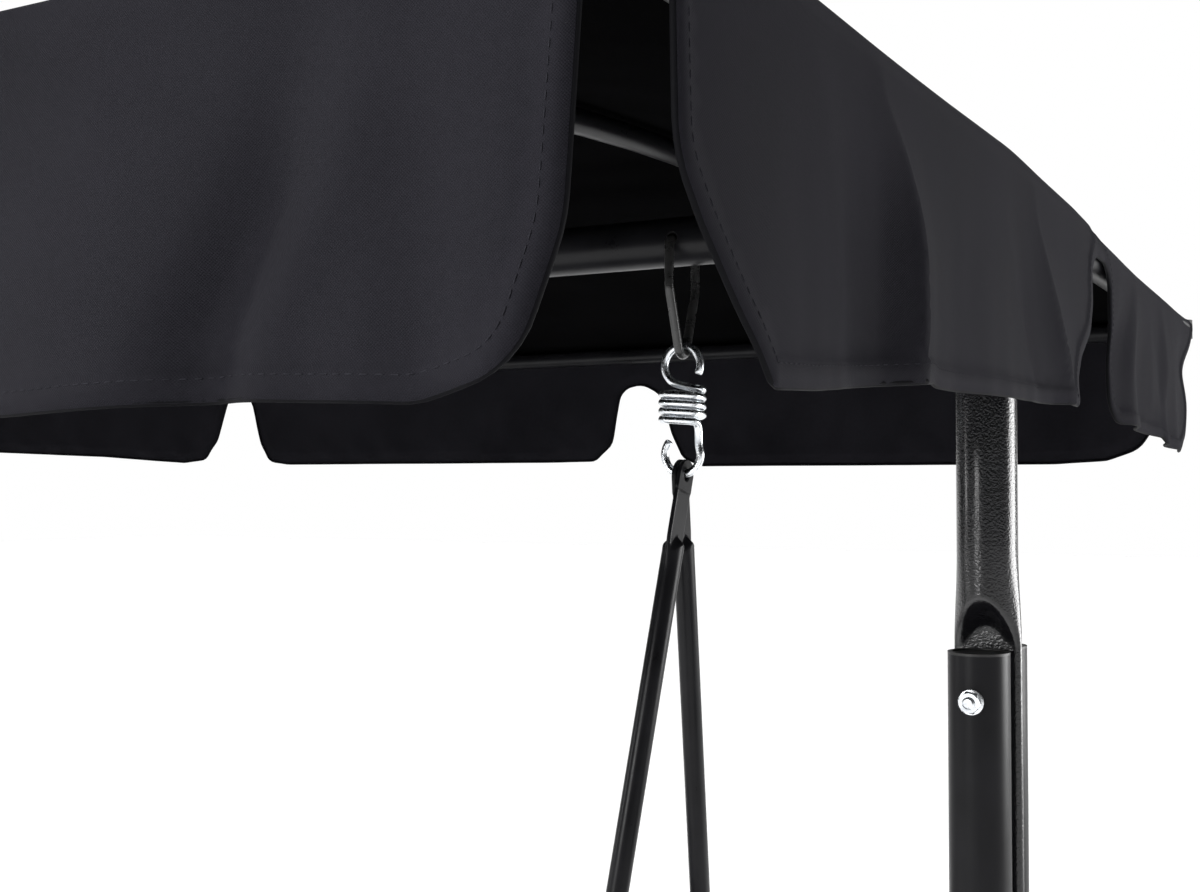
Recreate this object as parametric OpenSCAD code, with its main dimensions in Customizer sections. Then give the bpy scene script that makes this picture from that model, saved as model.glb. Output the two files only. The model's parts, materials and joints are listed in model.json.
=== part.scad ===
// Canopy swing bench: a hanging bench on two coil springs under a tilting fabric roof, on an A-frame stand.
// The origin is on the ground under the middle of the bench. +X is to the right, +Y to the back, +Z up.

/* [Stand] */
// Height of the top beam's centreline above the ground
beam_z = 1560; // [1540:10:1600]
// Distance of each post's centreline from the middle
post_x = 924; // [910:2:940]
// Outer diameter of the posts and legs
post_d = 40; // [38:1:42]
// Outer diameter of the top beam, which slides into the posts
beam_d = 37; // [36:0.5:37]
// Angle at which each leg leans away from the vertical
leg_angle = 26; // [22:1:28]

/* [Canopy] */
// Width of the canopy over its valances
canopy_w = 1970; // [1964:2:1990]
// Depth of the canopy over its valances
canopy_d = 1260; // [1160:10:1320]
// Height of the valances
valance_h = 145; // [135:5:165]
// Rise of the roof from its edges to its middle
roof_rise = 66; // [64:1:80]

/* [Suspension] */
// Distance of each hanger from the middle
hang_x = 698; // [690:2:710]
// Wire diameter of the coil springs
spring_wire = 6; // [5.6:0.1:6.2]
// Wire diameter of the hangers
hanger_wire = 7; // [6:0.5:7]

/* [Bench] */
// Height of the seat frame's centreline above the ground
seat_z = 365; // [355:5:375]
// Distance of each seat rail's centreline from the middle
rail_x = 606; // [604:1:606]
// Recline of the backrest from the vertical
back_angle = 16; // [10:1:20]
// Thickness of the seat cushion
cushion_h = 64; // [50:2:70]

/* [Hidden] */
$fn = 48;
cloth = 3;                 // thickness of the canopy cloth solids
gap = 0.02;                // parts of one node that only meet
close = 0.3;               // room between pieces that touch
post_r = post_d / 2;
beam_r = beam_d / 2;
tube_wall = 1.5;
post_wall = post_r - beam_r - 0.1;
bolt_r = 4;                // M8
bolt_hole_r = 4.3;
nut_af = 13;
nut_h = 6.5;
head_h = 5.3;

// posts: a bent tube whose lower end is pressed flat and bolted between two legs
bend_r = 90;
socket_x = 745;            // where the post's socket for the beam begins
press_top = 228;           // below the beam's centreline, as are the next five
press_end = 292;
leg_top = 293;
upper_bolt = 322;
lower_bolt = 458;
plate_end = 480;
plate_w = 45;
plate_t = 8;
leg_y = plate_t / 2 + post_r + 0.05;

// legs
leg_bend_r = 150;
leg_bend_z = beam_z - plate_end;
leg_arc_y = leg_y + leg_bend_r * (1 - cos(leg_angle));
leg_arc_z = leg_bend_z - leg_bend_r * sin(leg_angle);
foot_z = 25;               // where the leg's centreline ends
leg_len = (leg_arc_z - foot_z) / cos(leg_angle);
upper_len = 420;
neck_len = 80;
foot_y = leg_arc_y + leg_len * sin(leg_angle);
foot_h = 46;
brace_r = 12.5;
brace_z = 300;
cross_z = 240;
cross_off = post_r + brace_r + 0.6;
brace_at = (leg_arc_z - brace_z) / cos(leg_angle);      // down the leg, as is the next one
cross_at = (leg_arc_z - cross_z) / cos(leg_angle) + cross_off * tan(leg_angle);

// canopy frame
rod_r = 9.5;
side_x = canopy_w / 2 - 13.5;
end_y = canopy_d / 2 - 13.5;
edge_z = beam_z - 9;       // outer edge of the roof
rod_z = edge_z - cloth - rod_r - close;
hem_z = edge_z - valance_h;
bow_r = 8;
bow_x = 0.375 * canopy_w;  // the outer bows lift the cloth over the posts
bow_reach = end_y - rod_r - 2;
bow_sag = edge_z + roof_rise - cloth - bow_r - 1.3 - rod_z;
bow_arc_r = (bow_reach * bow_reach + bow_sag * bow_sag) / (2 * bow_sag);
pivot_drop = 96;           // canopy pivot, below the beam's centreline
pivot_z = beam_z - pivot_drop;
plate3 = 3;
pivot_plate_x = side_x - rod_r - plate3 - 0.2;
knob_x = post_x - post_r - 18.5;
knob_r = 14;
notch_r = 19;              // at a notch's arched top
notch_foot = 50;           // half of a notch's width at the hem
long_notch_x = canopy_w / 6;
long_notch_h = 92;
side_notch_y = 72;
side_notch_h = 132;

// hangers and springs
hang_y = beam_r + hanger_wire / 2 + close;
hanger_kink = 36;          // below the beam's centreline
hanger_tip = 98.9;
hanger_bend = 7;
tip_half = atan(hang_y / (hanger_tip - hanger_kink));
saddle_z = beam_z - hanger_tip + hanger_bend / sin(tip_half) - hanger_bend;
swing_z = saddle_z + (hanger_wire + spring_wire) / 2 + close;
hook_r = 14.6;
coil_r = 15;
coil_pitch = 6.3;
coil_start = 30;
coil_turns = 3.83;
coil_top = 33;             // below the swing axis, as is the next one
hook_drop = 96;
lower_hook = hook_drop - hook_r;

// arms
arm_r = 8;
arm_wall = 1.2;
arm_hole_r = 4.5;
arm_eye_z = swing_z - hook_drop - 0.7;          // the hooks bear on the eyes' upper edges
arm_spread = 13.6;         // front and back
arm_lean = 3.76;           // towards the middle
eye_w = 23.5;
eye_t = 3.4;
eye_len = 44;              // from the eye's hole to the press
eye_press = 20;
arm_fall = arm_eye_z - seat_z;
arm_len = arm_fall / cos(arm_spread) / cos(arm_lean);
arm_foot_x = hang_x - arm_fall * tan(arm_lean);
arm_foot_y = arm_fall * tan(arm_spread) / cos(arm_lean);
m6_r = 3;

// seat and backrest
rail_r = 12.5;
seat_front = 392;
seat_back = 300;
seat_corner = 40;
slats = 7;
back_x = rail_x - rail_r - 13;
back_r = 11;
back_y = 158;
back_h = 490;
back_bend = 60;
back_low = 70;
rods = 11;
rest_z = 585;
rest_r = 8;
rest_fall = arm_eye_z - rest_z;
rest_arm_y = rest_fall * tan(arm_spread) / cos(arm_lean);
rest_x = hang_x - rest_fall * tan(arm_lean) - arm_r - rest_r - 3.4;
back_bolt_h = (rest_z - seat_z) / cos(back_angle);      // up the backrest
back_bolt_y = back_y + back_bolt_h * sin(back_angle);
cushion_w = 1190;
cushion_d = 525;
back_cushion_h = 396;
back_cushion_t = 48;

black = [0.05, 0.05, 0.055];
hammered = [0.09, 0.09, 0.1];
zinc = [0.75, 0.77, 0.8];
plastic = [0.03, 0.03, 0.03];
fabric = [0.07, 0.07, 0.08];

// ---------- shapes ----------

function unit(v) = v / norm(v);
function squared_off(v, t) = unit(v - (v * t) * t);
function smooth(t) = let (c = max(0, min(1, t))) c * c * (3 - 2 * c);
function mixed(a, b, t) = a + (b - a) * t;

// The points of a path whose inner corners are rounded to radius r.
function rounded(pts, r, n) = [
    for (i = [0 : len(pts) - 1])
        if (i == 0 || i == len(pts) - 1) pts[i]
        else let (
            u = unit(pts[i - 1] - pts[i]),
            v = unit(pts[i + 1] - pts[i]),
            open = acos(u * v),
            c = pts[i] + unit(u + v) * r[i] / sin(open / 2),
            a = unit(pts[i] + u * r[i] / tan(open / 2) - c),
            b = unit(pts[i] + v * r[i] / tan(open / 2) - c),
            w = 180 - open
        )
        each [for (k = [0 : n]) c + r[i] * (sin((1 - k / n) * w) * a + sin(k / n * w) * b) / sin(w)]
];

function bezier(a, b, c, d, n) = [
    for (k = [1 : n - 1]) let (t = k / n, s = 1 - t)
        s * s * s * a + 3 * s * s * t * b + 3 * s * t * t * c + t * t * t * d
];

// A round wire along a list of points.
module wire(pts, r, sides, first) {
    last = len(pts) - 1;
    along = [for (i = [0 : last]) unit(pts[min(i + 1, last)] - pts[max(i - 1, 0)])];
    out = [for (i = 0, v = squared_off(first, along[0]); i <= last;
                i = i + 1, v = i <= last ? squared_off(v, along[i]) : v) v];
    rings = [for (i = [0 : last]) for (k = [0 : sides - 1]) let (a = 360 * k / sides)
        pts[i] + r * (cos(a) * out[i] + sin(a) * cross(along[i], out[i]))];
    walls = [for (i = [0 : last - 1]) for (k = [0 : sides - 1]) let (
        j = (k + 1) % sides, p = i * sides, q = p + sides)
        each [[p + k, q + k, q + j], [p + k, q + j, p + j]]];
    caps = [[for (k = [0 : sides - 1]) k],
            [for (k = [sides - 1 : -1 : 0]) last * sides + k]];
    polyhedron(rings, concat(walls, caps));
}

// A tube standing on the origin, along +Z.
module tube(r, wall, h) {
    difference() {
        cylinder(r = r, h = h);
        translate([0, 0, -1]) cylinder(r = r - wall, h = h + 2);
    }
}

module ring_2d(r, wall) {
    difference() {
        circle(r = r);
        circle(r = r - wall);
    }
}

// A quarter or part bend in the XZ plane, from +X towards +Z about the origin.
module bend(radius, r, wall, angle) {
    rotate([90, 0, 0]) rotate_extrude(angle = angle) translate([radius, 0]) ring_2d(r, wall);
}

// A cylinder along X or Y through the origin, for holes and shanks.
module along_x(r, h) { rotate([0, 90, 0]) cylinder(r = r, h = h, center = true); }
module along_y(r, h) { rotate([90, 0, 0]) cylinder(r = r, h = h, center = true); }

// The stretch where a round tube of radius r is pressed flat: round at z = 0, w by t at z = -h.
module pressed(r, w, t, h, arch, sides, steps) {
    points = [for (k = [0 : steps]) for (i = [0 : sides - 1]) let (
        a = 360 * i / sides, d = h * k / steps,
        s = smooth((d - arch * cos(a) * cos(a)) / (h - arch)),
        flat_y = t / 2 * sin(a) / max(abs(sin(a)), 0.35))
        [mixed(r, w / 2, smooth(d / h)) * cos(a), mixed(r * sin(a), flat_y, s), -d]];
    walls = [for (k = [0 : steps - 1]) for (i = [0 : sides - 1]) let (
        j = (i + 1) % sides, p = k * sides, q = p + sides)
        each [[p + i, p + j, q + j], [p + i, q + j, q + i]]];
    caps = [[for (i = [sides - 1 : -1 : 0]) i],
            [for (i = [0 : sides - 1]) steps * sides + i]];
    polyhedron(points, concat(walls, caps));
}

module stadium(w, t) {
    square([w - t, t], center = true);
    for (s = [-1, 1]) translate([s * (w - t) / 2, 0]) circle(r = t / 2);
}

module hexagon(af, h) { cylinder(r = af / 2 / cos(30), h = h, $fn = 6); }

// A bolt along +Z: its head sits below z = 0 and its shank reaches up to z = length.
module bolt(r, length, af, head) {
    translate([0, 0, -head]) hexagon(af, head);
    cylinder(r = r, h = length);
}

module nut(r, af, h) {
    difference() {
        hexagon(af, h);
        translate([0, 0, -1]) cylinder(r = r + 0.1, h = h + 2);
    }
}

module on_side(s) { if (s > 0) children(); else mirror([1, 0, 0]) children(); }
module on_back(s) { if (s > 0) children(); else mirror([0, 1, 0]) children(); }

// ---------- stand ----------

module top_beam(s) {
    color(black) on_side(s) difference() {
        translate([0.1, 0, beam_z]) rotate([0, 90, 0]) tube(beam_r, tube_wall, post_x - bend_r - 4.1);
        translate([hang_x, 0, beam_z]) along_y(5.1, 60);
        translate([80, 0, beam_z - 40]) cylinder(r = bolt_hole_r, h = 80);
        translate([785, 0, beam_z - 40]) cylinder(r = bolt_hole_r, h = 80);
    }
}

module beam_splice() {
    color(black) difference() {
        translate([-120, 0, beam_z]) rotate([0, 90, 0]) tube(beam_r - tube_wall - 0.1, tube_wall, 240);
        for (s = [-1, 1]) translate([s * 80, 0, beam_z - 40]) cylinder(r = bolt_hole_r, h = 80);
    }
}

module beam_bolts() {
    color(zinc) for (x = [-785, -80, 80, 785]) {
        outer = abs(x) > 700 ? post_r : beam_r;
        translate([x, 0, beam_z + outer + 0.1]) mirror([0, 0, 1]) bolt(bolt_r, 2 * outer + 10, nut_af, head_h);
        translate([x, 0, beam_z - outer - 0.1 - nut_h]) nut(bolt_r, nut_af, nut_h);
    }
}

module corner_post(s) {
    color(hammered) on_side(s) {
        difference() {
            translate([socket_x, 0, beam_z]) rotate([0, 90, 0])
                tube(post_r, post_wall, post_x - bend_r - socket_x - gap);
            translate([785, 0, beam_z - 40]) cylinder(r = bolt_hole_r, h = 80);
        }
        translate([post_x - bend_r, 0, beam_z - bend_r]) for (a = [0, 30, 60])
            rotate([0, -a - 0.01, 0]) bend(bend_r, post_r, post_wall, 29.98);
        difference() {
            translate([post_x, 0, beam_z - press_top]) tube(post_r, post_wall, press_top - bend_r - gap);
            translate([post_x, 0, pivot_z]) along_x(bolt_hole_r, 60);
        }
        translate([post_x, 0, beam_z - press_top - gap])
            pressed(post_r, plate_w, plate_t, press_end - press_top - gap, 28, 40, 12);
        difference() {
            translate([post_x, 0, beam_z - plate_end])
                linear_extrude(plate_end - press_end - gap) stadium(plate_w, plate_t);
            for (d = [upper_bolt, lower_bolt]) translate([post_x, 0, beam_z - d]) along_y(bolt_hole_r, 20);
        }
    }
}

// Puts its children at the top of a leg's lean, with -Z running down the leg.
module down_leg(s, b) {
    on_side(s) on_back(b) translate([post_x, leg_arc_y, leg_arc_z]) rotate([leg_angle, 0, 0]) children();
}

module upper_leg(s, b) {
    color(black) {
        on_side(s) on_back(b) {
            difference() {
                translate([post_x, leg_y, leg_bend_z + gap]) tube(post_r, tube_wall, plate_end - leg_top - gap);
                for (d = [upper_bolt, lower_bolt])
                    translate([post_x, leg_y, beam_z - d]) along_y(bolt_hole_r, 60);
            }
            translate([post_x, leg_y + leg_bend_r, leg_bend_z]) mirror([0, 1, 0]) rotate([90, 0, 90])
                rotate([0, 0, -leg_angle]) rotate_extrude(angle = leg_angle)
                translate([leg_bend_r, 0]) ring_2d(post_r, tube_wall);
        }
        down_leg(s, b) difference() {
            translate([0, 0, -upper_len]) tube(post_r, tube_wall, upper_len - gap);
            translate([0, 0, 40 - upper_len]) along_x(bolt_hole_r, 60);
        }
    }
}

module lower_leg(s, b) {
    color(black) down_leg(s, b) difference() {
        union() {
            translate([0, 0, -leg_len]) tube(post_r, tube_wall, leg_len - upper_len - 0.2);
            translate([0, 0, -upper_len - 30]) tube(post_r - tube_wall - 0.1, tube_wall, neck_len + 30);
        }
        translate([0, 0, 40 - upper_len]) along_x(bolt_hole_r, 60);
        translate([0, 0, -brace_at]) along_x(bolt_hole_r, 60);
        if (b > 0) translate([0, 0, -cross_at]) along_y(bolt_hole_r, 60);
    }
}

module foot(s, b) {
    color(plastic) on_side(s) on_back(b) difference() {
        translate([post_x, foot_y - 6, 0]) cylinder(r1 = 36, r2 = 32, h = foot_h);
        translate([post_x, foot_y, foot_z]) rotate([leg_angle, 0, 0])
            translate([0, 0, -0.4]) cylinder(r = post_r + 0.15, h = 120);
    }
}

module leg_top_caps() {
    color(plastic) for (s = [-1, 1]) for (b = [-1, 1]) on_side(s) on_back(b)
        translate([post_x, leg_y, beam_z - leg_top]) difference() {
            union() {
                translate([0, 0, gap]) cylinder(r = post_r, h = 1.6);
                translate([0, 0, -12]) cylinder(r = post_r - tube_wall - 0.1, h = 13);
            }
            translate([0, 0, 0.8]) cylinder(r = post_r - 3, h = 2);
        }
}

module post_bolts() {
    reach = leg_y + post_r + 0.1;
    color(zinc) for (s = [-1, 1]) for (d = [upper_bolt, lower_bolt])
        translate([s * post_x, reach, beam_z - d]) rotate([90, 0, 0]) rotate([0, 0, 17])
            bolt(bolt_r, 2 * reach + nut_h + 2.6, nut_af, head_h);
}

module post_nuts() {
    reach = leg_y + post_r + 0.1;
    color(zinc) for (s = [-1, 1]) for (d = [upper_bolt, lower_bolt])
        translate([s * post_x, -reach, beam_z - d]) rotate([90, 0, 0]) rotate([0, 0, s * 11 + d])
            nut(bolt_r, nut_af, nut_h);
}

// The bolts that join the legs' halves, and hold the side braces and the cross bar.
module frame_bolts() {
    color(zinc) for (s = [-1, 1]) for (b = [-1, 1]) down_leg(s, b) {
        translate([post_r + 0.1, 0, 40 - upper_len]) rotate([0, -90, 0])
            bolt(bolt_r, 2 * post_r + 9, nut_af, head_h);
        translate([-post_r - 0.1, 0, 40 - upper_len]) rotate([0, -90, 0]) nut(bolt_r, nut_af, nut_h);
        translate([post_r + 0.1, 0, -brace_at]) rotate([0, -90, 0])
            bolt(bolt_r, 2 * post_r + 2 * brace_r + 10, nut_af, head_h);
        translate([-post_r - 2 * brace_r - 0.7, 0, -brace_at]) rotate([0, -90, 0]) nut(bolt_r, nut_af, nut_h);
        if (b > 0) translate([0, 0, -cross_at]) rotate([90, 0, 0]) {
            translate([0, 0, -cross_off - brace_r - 0.1])
                bolt(bolt_r, 2 * post_r + 2 * brace_r + 10, nut_af, head_h);
            translate([0, 0, post_r + 0.1]) nut(bolt_r, nut_af, nut_h);
        }
    }
}

function leg_y_at(z) = leg_arc_y + (leg_arc_z - z) * tan(leg_angle);

module side_brace(s) {
    reach = leg_y_at(brace_z);
    color(black) on_side(s) difference() {
        translate([post_x - post_r - brace_r - 0.5, -reach - 22, brace_z]) rotate([-90, 0, 0])
            tube(brace_r, tube_wall, 2 * reach + 44);
        for (b = [-1, 1]) translate([post_x - post_r, b * reach, brace_z]) along_x(bolt_hole_r, 80);
    }
}

module rear_cross_bar() {
    y = leg_y_at(cross_z) + cross_off / cos(leg_angle);
    color(black) difference() {
        translate([-post_x - 26, y, cross_z]) rotate([0, 90, 0]) tube(brace_r, tube_wall, 2 * post_x + 52);
        for (s = [-1, 1]) down_leg(s, 1) translate([0, cross_off, -cross_at]) along_y(bolt_hole_r, 60);
    }
}

// ---------- hangers ----------

// A wire stirrup: across the beam through its two holes, down both sides and in to a narrow tip.
module hanger(s) {
    half = [[0, 0.5, 0], [0, hang_y, 0], [0, hang_y, -hanger_kink], [0, 0, -hanger_tip],
            [0, -hang_y, -hanger_kink], [0, -hang_y, 0], [0, -0.5, 0]];
    color(black) translate([s * hang_x, 0, beam_z])
        wire(rounded(half, [0, 5, 14, hanger_bend, 14, 5, 0], 7), hanger_wire / 2, 12, [1, 0, 0]);
}

module hanger_bushings() {
    color(plastic) for (s = [-1, 1]) for (b = [-1, 1])
        translate([s * hang_x, b * (beam_r - 4.2), beam_z]) rotate([90, 0, 0]) difference() {
            cylinder(r = 5, h = 7.4, center = true);
            cylinder(r = hanger_wire / 2 + 0.5, h = 10, center = true);
        }
}

// ---------- canopy ----------

// The pivot's bolts, and the screws that hold its plates to the side rods.
module canopy_bolts() {
    color(zinc) for (s = [-1, 1]) on_side(s) {
        translate([pivot_plate_x + plate3 + 0.2, 0, pivot_z]) rotate([0, -90, 0])
            bolt(bolt_r, pivot_plate_x + plate3 + 0.2 - knob_x - 3, nut_af, head_h);
        for (y = [-40, 40]) translate([pivot_plate_x - 0.1, y, rod_z]) rotate([0, 90, 0])
            bolt(2.5, 2 * rod_r + 3, 8, 3);
    }
}

module canopy_pivot_spacers() {
    h = pivot_plate_x - post_x - post_r - 0.6;
    color(plastic) for (s = [-1, 1]) on_side(s) translate([post_x + post_r + 0.3, 0, pivot_z])
        rotate([0, 90, 0]) tube(11, 11 - bolt_r - 0.1, h);
}

module clamp_knob(s) {
    color(plastic) on_side(s) translate([knob_x, 0, pivot_z]) rotate([0, 90, 0]) difference() {
        union() {
            cylinder(r = knob_r, h = 13);
            cylinder(r = 8.5, h = 17.8);
        }
        for (i = [0 : 5]) rotate([0, 0, 60 * i + 30]) translate([knob_r + 4, 0, -1]) cylinder(r = 8, h = 15);
        translate([0, 0, 2]) cylinder(r = bolt_r + 0.08, h = 30);
    }
}

module end_rod(b) {
    color(black) translate([-side_x + rod_r + 0.3, b * end_y, rod_z]) rotate([0, 90, 0])
        tube(rod_r, 1, 2 * (side_x - rod_r - 0.3));
}

module side_rod(s) {
    color(black) difference() {
        translate([s * side_x, -end_y + rod_r + 0.3, rod_z]) rotate([-90, 0, 0])
            tube(rod_r, 1, 2 * (end_y - rod_r - 0.3));
        for (y = [-40, 40]) translate([s * side_x, y, rod_z]) along_x(2.7, 40);
    }
}

module canopy_corner_joints() {
    color(plastic) for (s = [-1, 1]) for (b = [-1, 1]) on_side(s) on_back(b) translate([side_x, end_y, rod_z]) {
        translate([0, 0, -rod_r]) cylinder(r = rod_r, h = 2 * rod_r);
        translate([-36, 0, 0]) rotate([0, 90, 0]) cylinder(r = rod_r - 1.1, h = 36);
        translate([0, -36, 0]) rotate([-90, 0, 0]) cylinder(r = rod_r - 1.1, h = 36);
    }
}

module canopy_bows() {
    half = asin(bow_reach / bow_arc_r);
    color(black) for (x = [-bow_x, 0, bow_x]) translate([x, 0, rod_z + bow_sag - bow_arc_r])
        rotate([90, 0, 90]) rotate([0, 0, 90 - half]) rotate_extrude(angle = 2 * half, $fn = 720)
        translate([bow_arc_r, 0]) ring_2d(bow_r, 1, $fn = 48);
}

module canopy_pivot_plates() {
    top = rod_z - pivot_z + 5;
    color(black) for (s = [-1, 1])
        on_side(s) translate([pivot_plate_x, 0, pivot_z]) rotate([90, 0, 90]) difference() {
            linear_extrude(plate3) union() {
                circle(r = 14);
                polygon([[-14, 0], [14, 0], [56, top], [-56, top]]);
            }
            translate([0, 0, -1]) cylinder(r = bolt_r + 0.1, h = 6);
            for (y = [-40, 40]) translate([y, rod_z - pivot_z, -1]) cylinder(r = 2.7, h = 6);
        }
}

function roof_rise_at(x, y) = let (
    across = max(0, (abs(x) - bow_x) / (canopy_w / 2 - bow_x)),
    deep = 2 * y / canopy_d)
    roof_rise * (1 - across) * (1 - deep * deep);

// The roof cloth: a thin shell that rises over the three bows.
module canopy_roof() {
    xs = [for (i = [-8 : 8]) i * canopy_w / 16];
    ys = [for (i = [-6 : 6]) i * canopy_d / 12];
    nx = len(xs);
    ny = len(ys);
    top = [for (y = ys) for (x = xs) [x, y, edge_z + roof_rise_at(x, y)]];
    low = [for (p = top) p - [0, 0, cloth]];
    n = nx * ny;
    cells = [for (j = [0 : ny - 2]) for (i = [0 : nx - 2]) j * nx + i];
    faces_top = [for (c = cells) each [[c, c + nx, c + nx + 1], [c, c + nx + 1, c + 1]]];
    faces_low = [for (f = faces_top) [f[2] + n, f[1] + n, f[0] + n]];
    edge = concat([for (i = [0 : nx - 1]) i], [for (j = [1 : ny - 1]) j * nx + nx - 1],
                  [for (i = [nx - 2 : -1 : 0]) (ny - 1) * nx + i], [for (j = [ny - 2 : -1 : 1]) j * nx]);
    m = len(edge);
    sides = [for (i = [0 : m - 1]) let (a = edge[i], b = edge[(i + 1) % m])
        each [[a, b, b + n], [a, b + n, a + n]]];
    color(fabric) polyhedron(concat(top, low), concat(faces_top, faces_low, sides));
}

// One valance as an outline: its ends' lower corners are round, and each notch opens downwards.
module valance_2d(length, notches, notch_h) {
    r = 60;
    h = valance_h - cloth;
    difference() {
        union() {
            translate([-length / 2, r]) square([length, h - r]);
            translate([-length / 2 + r, 0]) square([length - 2 * r, h]);
            for (s = [-1, 1]) translate([s * (length / 2 - r), r]) circle(r = r);
        }
        for (x = notches) translate([x, notch_h - notch_r]) {
            circle(r = notch_r);
            polygon([[-notch_r, 0], [notch_r, 0], [notch_foot, -notch_h], [-notch_foot, -notch_h]]);
        }
    }
}

module long_valance(b) {
    color(fabric) translate([0, b * (canopy_d - cloth) / 2, hem_z - close]) rotate([90, 0, 0])
        linear_extrude(cloth, center = true)
        valance_2d(canopy_w, [-long_notch_x, long_notch_x], long_notch_h);
}

module side_valance(s) {
    color(fabric) translate([s * (canopy_w - cloth) / 2, 0, hem_z - close]) rotate([90, 0, 90])
        linear_extrude(cloth, center = true)
        valance_2d(canopy_d - 2 * cloth - 2 * close, [side_notch_y], side_notch_h);
}

// ---------- springs ----------

// One wire: an upper hook, a close coil and a lower hook, below the swing axis.
module spring(s) {
    upper = [for (a = [-20 : 10 : 250]) hook_r * [cos(a), 0, sin(a) - 1]];
    coil_end = coil_start + 360 * coil_turns;
    drop = coil_pitch / 360;
    coil = [for (a = [coil_start : 11.49 : coil_end])
        [coil_r * cos(a), coil_r * sin(a), -coil_top - (a - coil_start) * drop]];
    lower = [for (a = [15 : -10 : -220]) [hook_r * cos(a), 0, hook_r * sin(a) - lower_hook]];
    a = upper[len(upper) - 1];
    b = coil[0];
    c = coil[len(coil) - 1];
    d = lower[0];
    into = bezier(a, a + 14 * [0.94, 0, -0.34], b - 10 * [-0.5, 0.866, -0.07], b, 6);
    out = bezier(c, c + 7 * [0.5, 0.866, -0.07], d - 9 * [0.26, 0, -0.966], d, 6);
    color(zinc) translate([s * hang_x, 0, swing_z])
        wire(concat(upper, into, coil, out, lower), spring_wire / 2, 10, [0, 1, 0]);
}

// ---------- bench ----------

// Puts its children at an arm's eye, with -Z running down the arm.
module down_arm(s, b) {
    on_side(s) translate([hang_x - b * (eye_t / 2 + 0.3), 0, arm_eye_z]) rotate([b * arm_spread, arm_lean, 0])
        children();
}

module arm(s, b) {
    color(black) down_arm(s, b) {
        difference() {
            rotate([0, 90, 0]) linear_extrude(eye_t, center = true) union() {
                circle(r = eye_w / 2);
                translate([0, -eye_w / 2]) square([eye_len, eye_w]);
            }
            along_x(arm_hole_r, 20);
        }
        translate([0, 0, -eye_len - eye_press - gap]) mirror([0, 0, 1]) rotate([0, 0, 90])
            pressed(arm_r, eye_w, eye_t, eye_press - gap, 7, 32, 8);
        difference() {
            translate([0, 0, -arm_len - 20])
                tube(arm_r, arm_wall, arm_len + 20 - eye_len - eye_press - 2 * gap);
            for (fall = [arm_fall, rest_fall])
                translate([0, 0, -fall / cos(arm_spread) / cos(arm_lean)])
                rotate([-b * arm_spread, 0, 0]) rotate([0, -arm_lean, 0]) along_x(m6_r + 0.3, 30);
        }
    }
}

module rail_corner(s, b, r) {
    translate([s * (rail_x - r), b > 0 ? seat_back - r : r - seat_front, seat_z])
        rotate([0, 0, s > 0 ? (b > 0 ? 0 : -90) : (b > 0 ? 90 : 180)])
        rotate_extrude(angle = 90) translate([r, 0]) ring_2d(rail_r, tube_wall);
}

module seat_frame() {
    r = seat_corner;
    pitch = 2 * rail_x / (slats + 1);
    color(black) for (i = [1 : slats])
        translate([i * pitch - rail_x - 15, -seat_front, seat_z + rail_r + 0.1])
        cube([30, seat_front + seat_back, 2]);
    color(black) difference() {
        union() {
            for (s = [-1, 1]) translate([s * rail_x, r - seat_front, seat_z]) rotate([-90, 0, 0])
                tube(rail_r, tube_wall, seat_front + seat_back - 2 * r);
            for (y = [-seat_front, seat_back]) translate([r - rail_x, y, seat_z]) rotate([0, 90, 0])
                tube(rail_r, tube_wall, 2 * (rail_x - r));
            for (s = [-1, 1]) for (b = [-1, 1]) rail_corner(s, b, r);
        }
        for (s = [-1, 1]) {
            for (b = [-1, 1]) translate([s * rail_x, b * arm_foot_y, seat_z]) along_x(m6_r + 0.2, 40);
            translate([s * rail_x, back_y, seat_z]) along_x(m6_r + 0.2, 40);
        }
    }
}

// Puts its children in the backrest's plane: z up along it, from the seat frame's height.
module in_backrest() { translate([0, back_y, seat_z]) rotate([-back_angle, 0, 0]) children(); }

module backrest_frame() {
    foot = 18;
    color(black) in_backrest() difference() {
        union() {
            for (s = [-1, 1]) on_side(s) {
                translate([back_x, 0, -foot]) tube(back_r, tube_wall, back_h - back_bend + foot);
                translate([back_x - back_bend, 0, back_h - back_bend]) bend(back_bend, back_r, tube_wall, 90);
            }
            translate([back_bend - back_x, 0, back_h]) rotate([0, 90, 0])
                tube(back_r, tube_wall, 2 * (back_x - back_bend));
        }
        for (s = [-1, 1]) for (h = [0, back_bolt_h]) translate([s * back_x, 0, h]) along_x(m6_r + 0.2, 40);
    }
    pitch = 2 * (back_x - back_r) / (rods + 1);
    color(black) in_backrest() {
        translate([back_r - back_x + 0.3, 0, back_low]) rotate([0, 90, 0])
            tube(7, 1.2, 2 * (back_x - back_r - 0.3));
        for (i = [1 : rods]) translate([i * pitch - back_x + back_r, 0, back_low + 7.1])
            cylinder(r = 2.5, h = back_h - back_r - back_low - 7.2, $fn = 24);
    }
}

// Sleeves between the armrest bars and the backrest.
module backrest_spacers() {
    h = rest_x - rest_r - back_x - back_r - 0.6;
    color(black) for (s = [-1, 1]) on_side(s) translate([back_x + back_r + 0.3, back_bolt_y, rest_z])
        rotate([0, 90, 0]) tube(7, 7 - m6_r - 0.2, h);
}

module armrest_bars() {
    reach = rest_arm_y + 26;
    color(black) for (s = [-1, 1]) difference() {
        translate([s * rest_x, -reach, rest_z]) rotate([-90, 0, 0])
            tube(rest_r, 1.2, reach + back_bolt_y + 16);
        for (y = [-rest_arm_y, rest_arm_y, back_bolt_y])
            translate([s * rest_x, y, rest_z]) along_x(m6_r + 0.2, 30);
    }
}

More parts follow.
